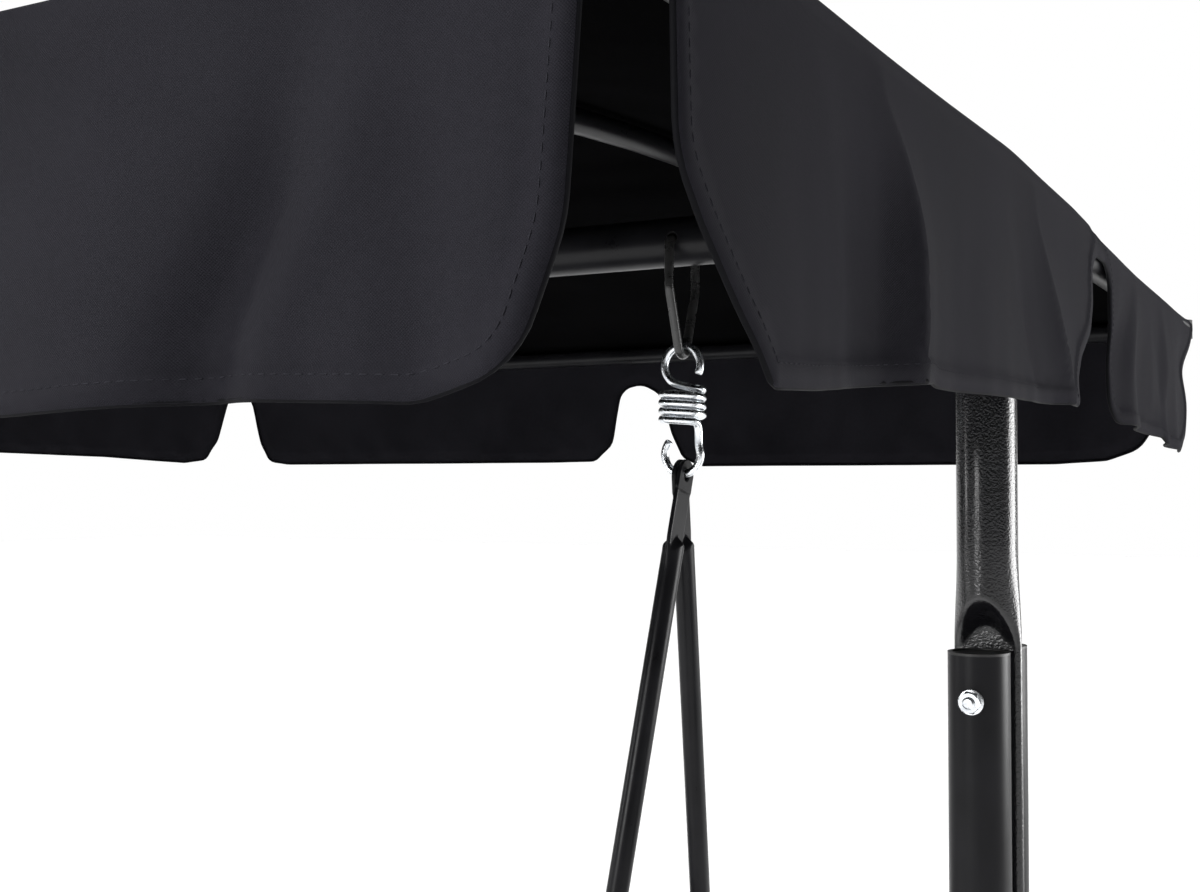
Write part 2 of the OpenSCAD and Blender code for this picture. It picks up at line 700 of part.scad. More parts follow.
module armrest_pads() {
    length = 2 * rest_arm_y - 46;
    w = 46;
    h = 22;
    color(plastic) for (s = [-1, 1]) translate([s * (rest_x + 2), 0, rest_z + rest_r + 0.2 + h / 2])
        rotate([90, 0, 0]) linear_extrude(length, center = true) union() {
            square([w - h, h], center = true);
            for (k = [-1, 1]) translate([k * (w - h) / 2, 0]) circle(r = h / 2);
        }
}

module bench_bolts() {
    color(zinc) for (s = [-1, 1]) on_side(s) {
        for (b = [-1, 1]) {
            arm_out = arm_foot_x - b * (eye_t / 2 + 0.3) + arm_r + 0.5;
            rest_out = hang_x - rest_fall * tan(arm_lean) - b * (eye_t / 2 + 0.3) + arm_r + 0.5;
            translate([arm_out, b * arm_foot_y, seat_z]) rotate([0, -90, 0])
                bolt(m6_r, arm_out - rail_x + rail_r + 7, 10, 4);
            translate([rail_x - rail_r - 0.1, b * arm_foot_y, seat_z]) rotate([0, -90, 0]) nut(m6_r, 10, 5);
            translate([rest_out, b * rest_arm_y, rest_z]) rotate([0, -90, 0])
                bolt(m6_r, rest_out - rest_x + rest_r + 7, 10, 4);
            translate([rest_x - rest_r - 0.1, b * rest_arm_y, rest_z]) rotate([0, -90, 0]) nut(m6_r, 10, 5);
        }
        translate([rail_x + rail_r + 0.1, back_y, seat_z]) rotate([0, -90, 0])
            bolt(m6_r, rail_x - back_x + rail_r + back_r + 8, 10, 4);
        translate([back_x - back_r - 0.2, back_y, seat_z]) rotate([0, -90, 0]) nut(m6_r, 10, 5);
        translate([rest_x + rest_r + 0.1, back_bolt_y, rest_z]) rotate([0, -90, 0])
            bolt(m6_r, rest_x - back_x + rest_r + back_r + 8, 10, 4);
        translate([back_x - back_r - 0.2, back_bolt_y, rest_z]) rotate([0, -90, 0]) nut(m6_r, 10, 5);
    }
}

// A plain pad, w by h by t, with its corners cut off.
module pad(w, d, t) {
    cut = 14;
    linear_extrude(t) polygon([
        [cut - w / 2, 0], [w / 2 - cut, 0], [w / 2, cut], [w / 2, d - cut],
        [w / 2 - cut, d], [cut - w / 2, d], [-w / 2, d - cut], [-w / 2, cut]]);
}

module seat_cushion() {
    color(fabric) translate([0, -seat_front - 12, seat_z + rail_r + 2.6]) pad(cushion_w, cushion_d, cushion_h);
}

module back_cushion() {
    color(fabric) in_backrest() translate([0, -back_r - 1, back_low + 16]) rotate([90, 0, 0])
        pad(cushion_w - 40, back_cushion_h, back_cushion_t);
}

// ---------- nodes ----------

top_beam(-1);  // top_beam_left
top_beam(1);  // top_beam_right
beam_splice();
beam_bolts();
corner_post(-1);  // left_corner_post
corner_post(1);  // right_corner_post
upper_leg(-1, -1);  // left_front_upper_leg
upper_leg(-1, 1);  // left_rear_upper_leg
upper_leg(1, -1);  // right_front_upper_leg
upper_leg(1, 1);  // right_rear_upper_leg
lower_leg(-1, -1);  // left_front_lower_leg
lower_leg(-1, 1);  // left_rear_lower_leg
lower_leg(1, -1);  // right_front_lower_leg
lower_leg(1, 1);  // right_rear_lower_leg
foot(-1, -1);  // left_front_foot
foot(-1, 1);  // left_rear_foot
foot(1, -1);  // right_front_foot
foot(1, 1);  // right_rear_foot
leg_top_caps();
post_bolts();
post_nuts();
frame_bolts();
side_brace(-1);  // left_side_brace
side_brace(1);  // right_side_brace
rear_cross_bar();
hanger(-1);  // left_hanger
hanger(1);  // right_hanger
hanger_bushings();
canopy_bolts();
canopy_pivot_spacers();
clamp_knob(-1);  // left_clamp_knob
clamp_knob(1);  // right_clamp_knob
end_rod(-1);  // canopy_front_rod
end_rod(1);  // canopy_rear_rod
side_rod(-1);  // canopy_left_rod
side_rod(1);  // canopy_right_rod
canopy_corner_joints();
canopy_bows();
canopy_pivot_plates();
canopy_roof();
long_valance(-1);  // front_valance
long_valance(1);  // rear_valance
side_valance(-1);  // left_valance
side_valance(1);  // right_valance
spring(-1);  // left_spring
spring(1);  // right_spring
arm(-1, -1);  // left_front_arm
arm(-1, 1);  // left_rear_arm
arm(1, -1);  // right_front_arm
arm(1, 1);  // right_rear_arm
seat_frame();
backrest_frame();
backrest_spacers();
armrest_bars();
armrest_pads();
bench_bolts();
seat_cushion();
back_cushion();
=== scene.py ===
import json
import math

import bmesh
import bpy
from mathutils import Matrix, Vector, geometry, noise


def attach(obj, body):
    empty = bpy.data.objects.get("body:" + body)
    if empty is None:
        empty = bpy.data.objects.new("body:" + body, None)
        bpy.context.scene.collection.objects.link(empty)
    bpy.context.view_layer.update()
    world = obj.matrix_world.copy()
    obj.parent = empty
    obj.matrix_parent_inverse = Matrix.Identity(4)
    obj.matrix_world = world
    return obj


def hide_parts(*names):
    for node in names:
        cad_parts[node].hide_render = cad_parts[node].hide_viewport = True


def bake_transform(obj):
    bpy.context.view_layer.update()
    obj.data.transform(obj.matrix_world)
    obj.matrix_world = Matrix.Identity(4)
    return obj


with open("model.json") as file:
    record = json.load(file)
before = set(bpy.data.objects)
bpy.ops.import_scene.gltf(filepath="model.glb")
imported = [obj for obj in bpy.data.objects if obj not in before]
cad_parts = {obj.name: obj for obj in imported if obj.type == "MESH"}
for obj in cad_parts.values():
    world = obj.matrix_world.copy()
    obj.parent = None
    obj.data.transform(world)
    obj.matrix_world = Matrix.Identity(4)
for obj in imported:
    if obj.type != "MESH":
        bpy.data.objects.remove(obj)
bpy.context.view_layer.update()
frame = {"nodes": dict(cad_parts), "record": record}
scene = bpy.context.scene
mm = 0.001
RIGHT, UP = Vector((1, 0, 0)), Vector((0, 0, 1))

# ---------- camera ----------

YAW, PITCH = math.radians(28.82), math.radians(1.66)
ahead = Vector((-math.sin(YAW) * math.cos(PITCH), math.cos(YAW) * math.cos(PITCH), math.sin(PITCH)))
camera = bpy.data.objects.new("camera", bpy.data.cameras.new("camera"))
camera.data.lens, camera.data.sensor_width = 43.95, 36
camera.data.clip_start, camera.data.clip_end = 0.02, 100
camera.location = (1.1708, -0.9872, 1.3752)
camera.rotation_euler = ahead.to_track_quat("-Z", "Y").to_euler()
scene.collection.objects.link(camera)
bpy.context.scene.camera = camera

# ---------- sizes, in metres, as the frame has them ----------

BEAM_Z = 1.560
POST_X, POST_R = 0.924, 0.020
HANG_X = 0.698
SWING_Z = 1.48185
EDGE_Z = BEAM_Z - 0.009
HALF_W, HALF_D = 0.985, 0.630
VALANCE = 0.145
RISE = 0.066
BOW_X = 0.375 * 2 * HALF_W
PLATE_TOP = BEAM_Z - 0.292
LEG_Y = 0.02405
UPPER_BOLT, LOWER_BOLT = 0.322, 0.458       # the post's bolts, below the beam
HOOK_DROP, EYE_GAP = 0.096, 0.0007          # from the swing's axis to where an arm's eye hangs
SEAT_Z, SEAT_TOP, SEAT_FRONT = 0.365, 0.3801, -0.404
BACK_Y, BACK_TILT = 0.158, math.radians(16)
CLOTH = 0.0011


# ---------- materials ----------

class Nodes:
    """A small helper that builds one node material round a Principled shader."""

    def __init__(self, name, **values):
        self.material = bpy.data.materials.new(name)
        self.material.use_nodes = True
        self.tree = self.material.node_tree
        self.shader = self.tree.nodes["Principled BSDF"]
        for key, value in values.items():
            self.shader.inputs[key.replace("_", " ")].default_value = value

    def add(self, kind, inputs=None, **settings):
        n = self.tree.nodes.new("ShaderNode" + kind)
        for key, value in settings.items():
            setattr(n, key, value)
        for key, value in (inputs or {}).items():
            self.put(n.inputs[key], value)
        return n

    def put(self, socket, value):
        if isinstance(value, bpy.types.NodeSocket):
            self.tree.links.new(value, socket)
        else:
            socket.default_value = value

    def place(self):
        return self.add("TexCoord").outputs["Object"]

    def uv(self):
        return self.add("UVMap").outputs["UV"]

    def noise(self, vector, scale, detail=4, rough=0.5, out="Fac", distortion=0.0):
        n = self.add("TexNoise", {"Vector": vector, "Scale": scale, "Detail": detail, "Roughness": rough,
                                  "Distortion": distortion})
        return n.outputs[out]

    def span(self, value, a, b, low, high):
        n = self.add("MapRange", {"Value": value, "From Min": a, "From Max": b,
                                  "To Min": low, "To Max": high})
        return n.outputs["Result"]

    def maths(self, operation, a, b=0.0):
        return self.add("Math", {0: a, 1: b}, operation=operation).outputs[0]

    def ramp(self, value, *stops):
        n = self.add("ValToRGB", {"Fac": value})
        while len(n.color_ramp.elements) < len(stops):
            n.color_ramp.elements.new(0.5)
        for e, (at, colour) in zip(n.color_ramp.elements, stops):
            e.position, e.color = at, (*colour, 1)
        return n.outputs["Color"]

    def bump(self, height, distance, strength=1.0, under=None):
        n = self.add("Bump", {"Height": height, "Distance": distance, "Strength": strength})
        if under is not None:
            self.put(n.inputs["Normal"], under)
        return n.outputs["Normal"]

    def finish(self, **links):
        for key, value in links.items():
            self.put(self.shader.inputs[key.replace("_", " ")], value)
        return self.material


def grey(v, tint=0.0):
    return (v, v, v * (1 + tint))


def powder_coat():
    """Smooth satin black powder coat: a very fine orange peel, a little dust and slight gloss changes."""
    m = Nodes("powder_coat_satin", Specular_IOR_Level=0.13)
    p = m.place()
    soft = m.noise(p, 22, 5)
    peel = m.noise(p, 1500, 2)
    speck = m.noise(p, 420, 3)
    colour = m.ramp(soft, (0.3, grey(0.005, 0.16)), (0.7, grey(0.010, 0.16)))
    rough = m.span(m.maths("ADD", m.maths("MULTIPLY", soft, 0.6), m.maths("MULTIPLY", speck, 0.4)),
                   0.3, 0.7, 0.26, 0.38)
    return m.finish(Base_Color=colour, Roughness=rough, Normal=m.bump(peel, 0.00004, 0.5))


def hammered():
    """Black hammered paint: small rounded cells under a thin glossy coat."""
    m = Nodes("hammered_black", Specular_IOR_Level=0.42, Coat_Weight=0.2, Coat_Roughness=0.1)
    p = m.place()
    wobble = m.noise(p, 260, 3, out="Color")
    mixed = m.add("VectorMath", {0: wobble, 1: (0.004, 0.004, 0.004), 2: p},
                  operation="MULTIPLY_ADD").outputs[0]
    cells = m.add("TexVoronoi", {"Vector": mixed, "Scale": 620.0, "Smoothness": 0.6},
                  feature="SMOOTH_F1").outputs["Distance"]
    fine = m.noise(p, 900, 3)
    height = m.maths("ADD", cells, m.maths("MULTIPLY", fine, 0.35))
    colour = m.ramp(m.noise(p, 40, 4), (0.3, grey(0.004, 0.2)), (0.7, grey(0.008, 0.2)))
    rough = m.span(fine, 0.3, 0.7, 0.17, 0.27)
    return m.finish(Base_Color=colour, Roughness=rough, Normal=m.bump(height, 0.00030, 0.55))


def coated_wire():
    m = Nodes("coated_wire_black", Specular_IOR_Level=0.5)
    p = m.place()
    n = m.noise(p, 120, 4)
    return m.finish(Base_Color=m.ramp(n, (0.3, grey(0.01)), (0.75, grey(0.022))),
                    Roughness=m.span(n, 0.3, 0.7, 0.22, 0.36),
                    Normal=m.bump(m.noise(p, 900, 2), 0.00004, 0.6))


def zinc():
    """Bright zinc plating on steel, faintly blue, with fine drawing marks and a few dull patches."""
    m = Nodes("bright_zinc", Metallic=1.0)
    p = m.place()
    soft = m.noise(p, 90, 5)
    fine = m.noise(p, 1300, 3, distortion=0.4)
    colour = m.ramp(soft, (0.25, (0.60, 0.63, 0.67)), (0.55, (0.76, 0.78, 0.80)),
                    (0.8, (0.70, 0.75, 0.79)))
    return m.finish(Base_Color=colour, Roughness=m.span(m.maths("ADD", soft, fine), 0.7, 1.3, 0.16, 0.36),
                    Normal=m.bump(fine, 0.00003, 0.4))


def moulded_plastic():
    m = Nodes("moulded_plastic_black", Specular_IOR_Level=0.45)
    p = m.place()
    grain = m.add("TexVoronoi", {"Vector": p, "Scale": 1500.0}).outputs["Distance"]
    soft = m.noise(p, 30, 4)
    return m.finish(Base_Color=m.ramp(soft, (0.3, grey(0.012)), (0.7, grey(0.022))),
                    Roughness=m.span(soft, 0.3, 0.7, 0.42, 0.58), Normal=m.bump(grain, 0.00006, 0.5))


def woven(name, dark, light, pitch, sheen, rough, gloss):
    """Woven polyester: warp and weft threads at their real pitch along UV, which is in metres."""
    m = Nodes(name, Specular_IOR_Level=gloss, Sheen_Weight=sheen, Sheen_Roughness=0.45)
    uv = m.uv()
    split = m.add("SeparateXYZ", {"Vector": uv})
    k = 2 * math.pi / pitch
    warp = m.maths("SINE", m.maths("MULTIPLY", split.outputs["X"], k))
    weft = m.maths("SINE", m.maths("MULTIPLY", split.outputs["Y"], k))
    weave = m.maths("MULTIPLY", warp, weft)
    slub = m.noise(uv, 260, 4, out="Fac")
    cloudy = m.noise(uv, 9, 5)
    shade = m.maths("ADD", m.maths("MULTIPLY", cloudy, 0.75), m.maths("MULTIPLY", slub, 0.25))
    colour = m.ramp(shade, (0.3, dark), (0.7, light))
    relief = m.bump(weave, 0.00012, 0.55, m.bump(slub, 0.0002, 0.25))
    return m.finish(Base_Color=colour, Roughness=m.span(shade, 0.3, 0.7, rough, rough + 0.12),
                    Normal=relief)


def thread():
    m = Nodes("sewing_thread", Roughness=0.8, Specular_IOR_Level=0.04)
    n = m.noise(m.place(), 700, 3)
    return m.finish(Base_Color=m.ramp(n, (0.3, (0.014, 0.0138, 0.0170)), (0.7, (0.024, 0.0236, 0.029))))


COAT = powder_coat()
HAMMERED = hammered()
WIRE = coated_wire()
ZINC = zinc()
PLASTIC = moulded_plastic()
CANOPY = woven("canopy_cloth", (0.0105, 0.0102, 0.0130), (0.0165, 0.0160, 0.0200),
               pitch=0.0011, sheen=0.006, rough=0.6, gloss=0.02)
# the roof's underside: the same cloth, painted much darker as painted shade under the canopy
ROOF_UNDERSIDE_SHADE = woven("canopy_underside_painted_shade", (0.0018, 0.0018, 0.0019), (0.0030, 0.0030, 0.0032),
               pitch=0.0011, sheen=0.0, rough=0.75, gloss=0.0)
# the valances' inner faces: the same cloth, painted a little darker as painted shade inside the canopy
VALANCE_INSIDE_SHADE = woven("valance_inside_painted_shade", (0.0085, 0.0083, 0.0102), (0.0150, 0.0146, 0.0178),
                      pitch=0.0011, sheen=0.0, rough=0.75, gloss=0.01)
CUSHION = woven("cushion_cloth", (0.0150, 0.0146, 0.0182), (0.0235, 0.0228, 0.0282),
                pitch=0.0013, sheen=0.01, rough=0.7, gloss=0.03)
BINDING = woven("binding_tape", (0.003, 0.003, 0.0038), (0.006, 0.006, 0.0072),
                pitch=0.0009, sheen=0.0, rough=0.6, gloss=0.04)
THREAD = thread()

SLOT_FINISH = {"black_steel": COAT, "hammered_steel": HAMMERED, "coated_wire": WIRE, "zinc_steel": ZINC,
               "black_plastic": PLASTIC, "canopy_cloth": CANOPY, "cushion_cloth": CUSHION}
for part in frame["record"]["subparts"]:
    mesh = frame["nodes"][part["node"]].data
    mesh.materials.clear()
    mesh.materials.append(SLOT_FINISH[part["material_slot"]])


# ---------- mesh helpers ----------

def piece(name, verts, faces, material, smooth=True, angle=None):
    mesh = bpy.data.meshes.new(name)
    mesh.from_pydata([tuple(v) for v in verts], [], faces)
    mesh.materials.append(material)
    if smooth:
        mesh.shade_smooth()
    if angle is not None:
        mesh.set_sharp_from_angle(angle=math.radians(angle))
    obj = bpy.data.objects.new(name, mesh)
    scene.collection.objects.link(obj)
    return obj


def loft(rings):
    """Verts and faces of a capped skin over closed rings that all have the same number of points."""
    n = len(rings[0])
    verts = [v for r in rings for v in r]
    faces = []
    for i in range(len(rings) - 1):
        for k in range(n):
            j = (k + 1) % n
            faces.append((i * n + k, i * n + j, (i + 1) * n + j, (i + 1) * n + k))
    faces.append(tuple(reversed(range(n))))
    faces.append(tuple((len(rings) - 1) * n + k for k in range(n)))
    return verts, faces


def gather(*parts):
    """Several (verts, faces) as one."""
    verts, faces = [], []
    for v, f in parts:
        faces += [tuple(i + len(verts) for i in face) for face in f]
        verts += v
    return verts, faces


def frames(points, first):
    """Unit vectors along, out and across at each point of a path, turning as little as they can."""
    along = []
    for i in range(len(points)):
        a = points[min(i + 1, len(points) - 1)] - points[max(i - 1, 0)]
        along.append(a.normalized())
    out = (first - along[0] * first.dot(along[0])).normalized()
    made = []
    for a in along:
        out = (out - a * out.dot(a)).normalized()
        made.append((a, out, a.cross(out)))
    return made


def wire(points, r, sides, first, round_ends=False):
    path = frames(points, first)
    rings = []
    radii = [r] * len(points)
    points = list(points)
    if round_ends:
        a0, a1 = path[0][0], path[-1][0]
        start = [(points[0] - a0 * r * 0.45 * t, r * f) for t, f in ((1.0, 0.55), (0.72, 0.82))]
        end = [(points[-1] + a1 * r * 0.45 * t, r * f) for t, f in ((0.72, 0.82), (1.0, 0.55))]
        points = [p for p, _ in start] + points + [p for p, _ in end]
        radii = [f for _, f in start] + radii + [f for _, f in end]
        path = [path[0]] * 2 + path + [path[-1]] * 2
    for p, (a, u, v), rad in zip(points, path, radii):
        rings.append([p + rad * (math.cos(t) * u + math.sin(t) * v)
                      for t in (2 * math.pi * k / sides for k in range(sides))])
    return loft(rings)


def rounded(pts, radii, n):
    """A path whose inner corners are rounded."""
    made = [pts[0]]
    for i in range(1, len(pts) - 1):
        u = (pts[i - 1] - pts[i]).normalized()
        v = (pts[i + 1] - pts[i]).normalized()
        half = u.angle(v) / 2
        c = pts[i] + (u + v).normalized() * radii[i] / math.sin(half)
        a = (pts[i] + u * radii[i] / math.tan(half) - c) / radii[i]
        b = (pts[i] + v * radii[i] / math.tan(half) - c) / radii[i]
        w = math.pi - 2 * half
        for k in range(n + 1):
            t = k / n
            made.append(c + radii[i] * (math.sin((1 - t) * w) * a + math.sin(t * w) * b) / math.sin(w))
    made.append(pts[-1])
    return made


def smoothstep(t):
    t = max(0.0, min(1.0, t))
    return t * t * (3 - 2 * t)


def through(*points):
    """A smooth function through (x, y) points, level beyond its ends."""
    xs = [p[0] for p in points]
    ys = [p[1] for p in points]
    slope = []
    for i in range(len(xs)):
        if i in (0, len(xs) - 1):
            slope.append(0.0)
        else:
            a = (ys[i] - ys[i - 1]) / (xs[i] - xs[i - 1])
            b = (ys[i + 1] - ys[i]) / (xs[i + 1] - xs[i])
            slope.append(0.0 if a * b <= 0 else 2 * a * b / (a + b))

    def f(x):
        if x <= xs[0]:
            return ys[0]
        for i in range(len(xs) - 1):
            if x <= xs[i + 1]:
                h = xs[i + 1] - xs[i]
                t = (x - xs[i]) / h
                return ((2 * t ** 3 - 3 * t ** 2 + 1) * ys[i] + (t ** 3 - 2 * t ** 2 + t) * h * slope[i]
                        + (3 * t ** 2 - 2 * t ** 3) * ys[i + 1] + (t ** 3 - t ** 2) * h * slope[i + 1])
        return ys[-1]
    return f


def mirrored_name(side, rest):
    return ("right_" if side > 0 else "left_") + rest


# ---------- posts ----------

def round_ring(r, sides):
    return [(r * math.cos(2 * math.pi * k / sides), r * math.sin(2 * math.pi * k / sides))
            for k in range(sides)]


def oval(w, t, sides):
    """A flattened ring: straight faces and round edges, from the middle of its +x end."""
    r = t / 2
    straight = w - t
    total = 2 * straight + math.pi * t
    pts = []
    for k in range(sides):
        d = (k / sides) * total
        q = math.pi * r / 2
        if d < q:
            a = d / r
            pts.append((straight / 2 + r * math.cos(a), r * math.sin(a)))
        elif d < q + straight:
            pts.append((straight / 2 - (d - q), r))
        elif d < 3 * q + straight:
            a = math.pi / 2 + (d - q - straight) / r
            pts.append((-straight / 2 + r * math.cos(a), r * math.sin(a)))
        elif d < 3 * q + 2 * straight:
            pts.append((-straight / 2 + (d - 3 * q - straight), -r))
        else:
            a = 3 * math.pi / 2 + (d - 3 * q - 2 * straight) / r
            pts.append((straight / 2 + r * math.cos(a), r * math.sin(a)))
    return pts


def post(side):
    sides, bend_r = 96, 0.09
    arch_high, arch_power = 0.018, 2.2          # the press mark's arch, higher at the tube's sides
    press_from, press_run = 0.034, 0.021        # where the tube starts to flatten, and over what length
    lip_at, lip_wide, lip_deep = 0.056, 0.007, 0.08
    rings = []
    circle = round_ring(1, sides)

    across = Vector((0, -1, 0))
    whole = round_ring(POST_R, sides)

    def ring(centre, u, pts):
        rings.append([centre + u * a + across * b for a, b in pts])

    def upright_ring(z, pts):
        ring(Vector((POST_X, 0, z)), RIGHT, pts)

    # the socket's mouth is turned in a little
    for x, r in ((0.745, 0.0186), (0.745, 0.0194), (0.7458, POST_R), (0.80, POST_R)):
        ring(Vector((x, 0, BEAM_Z)), UP, round_ring(r, sides))
    for k in range(25):
        t = math.pi / 2 * k / 24
        c = Vector((POST_X - bend_r + bend_r * math.sin(t), 0, BEAM_Z - bend_r + bend_r * math.cos(t)))
        ring(c, Vector((math.sin(t), 0, math.cos(t))), whole)
    top = BEAM_Z - 0.222
    for k in range(1, 5):
        upright_ring((BEAM_Z - bend_r) + (top - (BEAM_Z - bend_r)) * k / 5, whole)
    flat = oval(0.045, 0.008, sides)
    length = top - PLATE_TOP
    for k in range(45):
        d = length * k / 44
        pts = []
        for i, (a, b) in enumerate(circle):
            widen = smoothstep(d / length)
            x = POST_R * a * (1 - widen) + flat[i][0] * widen
            arch = arch_high * abs(a) ** arch_power
            s = smoothstep((d - press_from - arch) / press_run)
            y = POST_R * b * (1 - s) + flat[i][1] * s
            # the tool's lip: a shallow dish just inside the arch
            y *= 1 - lip_deep * math.exp(-((d - lip_at - arch) / lip_wide) ** 2) * max(0, 1 - abs(a) * 1.3)
            pts.append((x, y))
        upright_ring(top - d, pts)
    for z in (BEAM_Z - 0.3, BEAM_Z - 0.36, BEAM_Z - 0.42, BEAM_Z - 0.476, BEAM_Z - 0.479):
        upright_ring(z, flat)
    upright_ring(BEAM_Z - 0.480, oval(0.043, 0.006, sides))
    verts, faces = loft(rings)
    if side < 0:
        verts = [Vector((-v.x, v.y, v.z)) for v in verts]
        faces = [tuple(reversed(f)) for f in faces]
    obj = piece(mirrored_name(side, "post_tube"), verts, faces, HAMMERED, angle=50)
    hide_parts(mirrored_name(side, "corner_post"))
    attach(obj, "stand")


for side in (-1, 1):
    post(side)


# ---------- hangers ----------

def hanger(side):
    y, shoulder, foot = 0.0223, -0.036, -0.0989
    half = [(0, 0), (y, 0), (y, shoulder), (0, foot), (-y, shoulder), (-y, 0), (0, 0)]
    pts = [Vector((side * HANG_X, p[0], BEAM_Z + p[1])) for p in half]
    pts[0].y, pts[-1].y = 0.0005, -0.0005
    path = rounded(pts, [0, 0.005, 0.014, 0.007, 0.014, 0.005, 0], 14)
    verts, faces = wire(path, 0.0035, 28, RIGHT)
    obj = piece(mirrored_name(side, "hanger_wire"), verts, faces, WIRE, angle=60)
    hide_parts(mirrored_name(side, "hanger"))
    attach(obj, "stand")


for side in (-1, 1):
    hanger(side)


# ---------- springs ----------

def bezier(a, b, c, d, n):
    made = []
    for k in range(1, n):
        t = k / n
        s = 1 - t
        made.append(s ** 3 * a + 3 * s * s * t * b + 3 * s * t * t * c + t ** 3 * d)
    return made


def spring(side):
    """Two hooks and a coil, in millimetres from the swing's axis, joined by short bends."""
    hook, coil_r, pitch, turns, start = 14.6, 15.0, 6.3, 3.83, 30.0
    coil_top, drop = -33, 96
    rad = math.radians
    upper = [Vector((hook * math.cos(rad(a)), 0, hook * (math.sin(rad(a)) - 1)))
             for a in range(-24, 251, 6)]
    end = start + 360 * turns
    steps = int(round(360 * turns / 6))
    coil = []
    for k in range(steps + 1):
        a = start + (end - start) * k / steps
        coil.append(Vector((coil_r * math.cos(rad(a)), coil_r * math.sin(rad(a)),
                            coil_top - (a - start) * pitch / 360)))
    lower_z = drop - hook
    lower = [Vector((hook * math.cos(rad(a)), 0, hook * math.sin(rad(a)) - lower_z))
             for a in range(15, -221, -6)]
    a, b, c, d = upper[-1], coil[0], coil[-1], lower[0]
    into = bezier(a, a + 14 * Vector((0.94, 0, -0.34)), b - 10 * Vector((-0.5, 0.866, -0.07)), b, 12)
    out = bezier(c, c + 7 * Vector((0.5, 0.866, -0.07)), d - 9 * Vector((0.26, 0, -0.966)), d, 10)
    path = [p * mm + Vector((side * HANG_X, 0, SWING_Z)) for p in upper + into + coil + out + lower]
    verts, faces = wire(path, 0.003, 24, Vector((0, 1, 0)), round_ends=True)
    obj = piece(mirrored_name(side, "spring_wire"), verts, faces, ZINC, angle=70)
    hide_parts(mirrored_name(side, "spring"))
    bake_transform(obj)


for side in (-1, 1):
    spring(side)


# ---------- arms ----------

def arm(side, back):
    """A tube pressed flat into an eye at its top."""
    eye_z = SWING_Z - HOOK_DROP - EYE_GAP
    spread, lean = math.radians(13.6), math.radians(3.76)
    length = (eye_z - SEAT_Z) / math.cos(spread) / math.cos(lean) + 0.020
    w, t, tube, hole_r, shoulder = 0.0235, 0.0034, 0.008, 0.0045, 0.014
    sides = 64
    place = (Matrix.Translation((HANG_X - back * 0.002, 0, eye_z)) @ Matrix.Rotation(lean, 4, "Y")
             @ Matrix.Rotation(back * spread, 4, "X"))
    if side < 0:
        place = Matrix.Diagonal((-1, 1, 1, 1)) @ place
    # the eye: an outline round the hole, thick along X, wide along Y
    n = 40
    outer, inner = [], round_ring(hole_r, n)
    for k in range(n):
        a = 2 * math.pi * k / n
        c, s = math.cos(a), math.sin(a)
        if s >= 0:
            outer.append((w / 2 * c, w / 2 * s))
        else:
            reach = min(w / 2 / max(abs(c), 1e-6), shoulder / abs(s))
            outer.append((reach * c, reach * s))
    rim = 0.0006
    verts, faces = [], []

    def layer(pts, x):
        first = len(verts)
        verts.extend(Vector((x, p[0], p[1])) for p in pts)
        return first

    def shrink(pts, by):
        return [(p[0] * (1 - by / max(math.hypot(*p), 1e-9)), p[1] * (1 - by / max(math.hypot(*p), 1e-9)))
                if p[1] > -0.0135 else p for p in pts]

    def grow(pts, by):
        return [(p[0] * (1 + by / math.hypot(*p)), p[1] * (1 + by / math.hypot(*p))) for p in pts]

    loops = [layer(inner, -t / 2 + rim), layer(grow(inner, rim), -t / 2), layer(shrink(outer, rim), -t / 2),
             layer(outer, -t / 2 + rim), layer(outer, t / 2 - rim), layer(shrink(outer, rim), t / 2),
             layer(grow(inner, rim), t / 2), layer(inner, t / 2 - rim)]
    loops.append(loops[0])
    for a, b in zip(loops, loops[1:]):
        for k in range(n):
            j = (k + 1) % n
            faces.append((a + k, a + j, b + j, b + k))
    # the flat, the press and the round tube, as one skin
    flat = oval(w, t, sides)
    circle = round_ring(tube, sides)
    rings = []
    flat_end, press = 0.044, 0.020

    def ring(pts, z):
        rings.append([Vector((b, a, z)) for a, b in pts])

    ring(flat, -0.012)
    ring(flat, -0.030)
    ring(flat, -flat_end + 0.002)
    for k in range(41):
        d = (press + 0.010) * k / 40
        pts = []
        for i in range(sides):
            a, b = circle[i][0] / tube, circle[i][1] / tube
            # going down, the middle opens first and its outline is a pointed arch
            widen = smoothstep(d / (press + 0.010))
            y = flat[i][0] * (1 - widen) + circle[i][0] * widen
            s = smoothstep((d - 0.0015 - 0.0075 * abs(a) ** 1.5) / 0.0075)
            x = flat[i][1] * (1 - s) + circle[i][1] * s
            pts.append((y, x))
        ring(pts, -flat_end - d)
    ring(circle, -flat_end - press - 0.02)
    ring(circle, -length + 0.0008)
    ring([(p[0] * 0.92, p[1] * 0.92) for p in circle], -length)
    verts, faces = gather((verts, faces), loft(rings))
    verts = [place @ v for v in verts]
    name = mirrored_name(side, ("rear" if back > 0 else "front") + "_arm_tube")
    obj = piece(name, verts, faces, COAT, angle=45)
    bm = bmesh.new()
    bm.from_mesh(obj.data)
    bmesh.ops.recalc_face_normals(bm, faces=bm.faces)
    bm.to_mesh(obj.data)
    bm.free()
    obj.data.set_sharp_from_angle(angle=math.radians(45))
    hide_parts(mirrored_name(side, ("rear" if back > 0 else "front") + "_arm"))
    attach(obj, "bench")


for side in (-1, 1):
    for back in (-1, 1):
        arm(side, back)


# ---------- nuts and bolts at the post ----------

def about(axis):
    """Two unit vectors across an axis, the first as upright as it can be."""
    side = axis.cross(UP).normalized()
    return side.cross(axis).normalized(), side


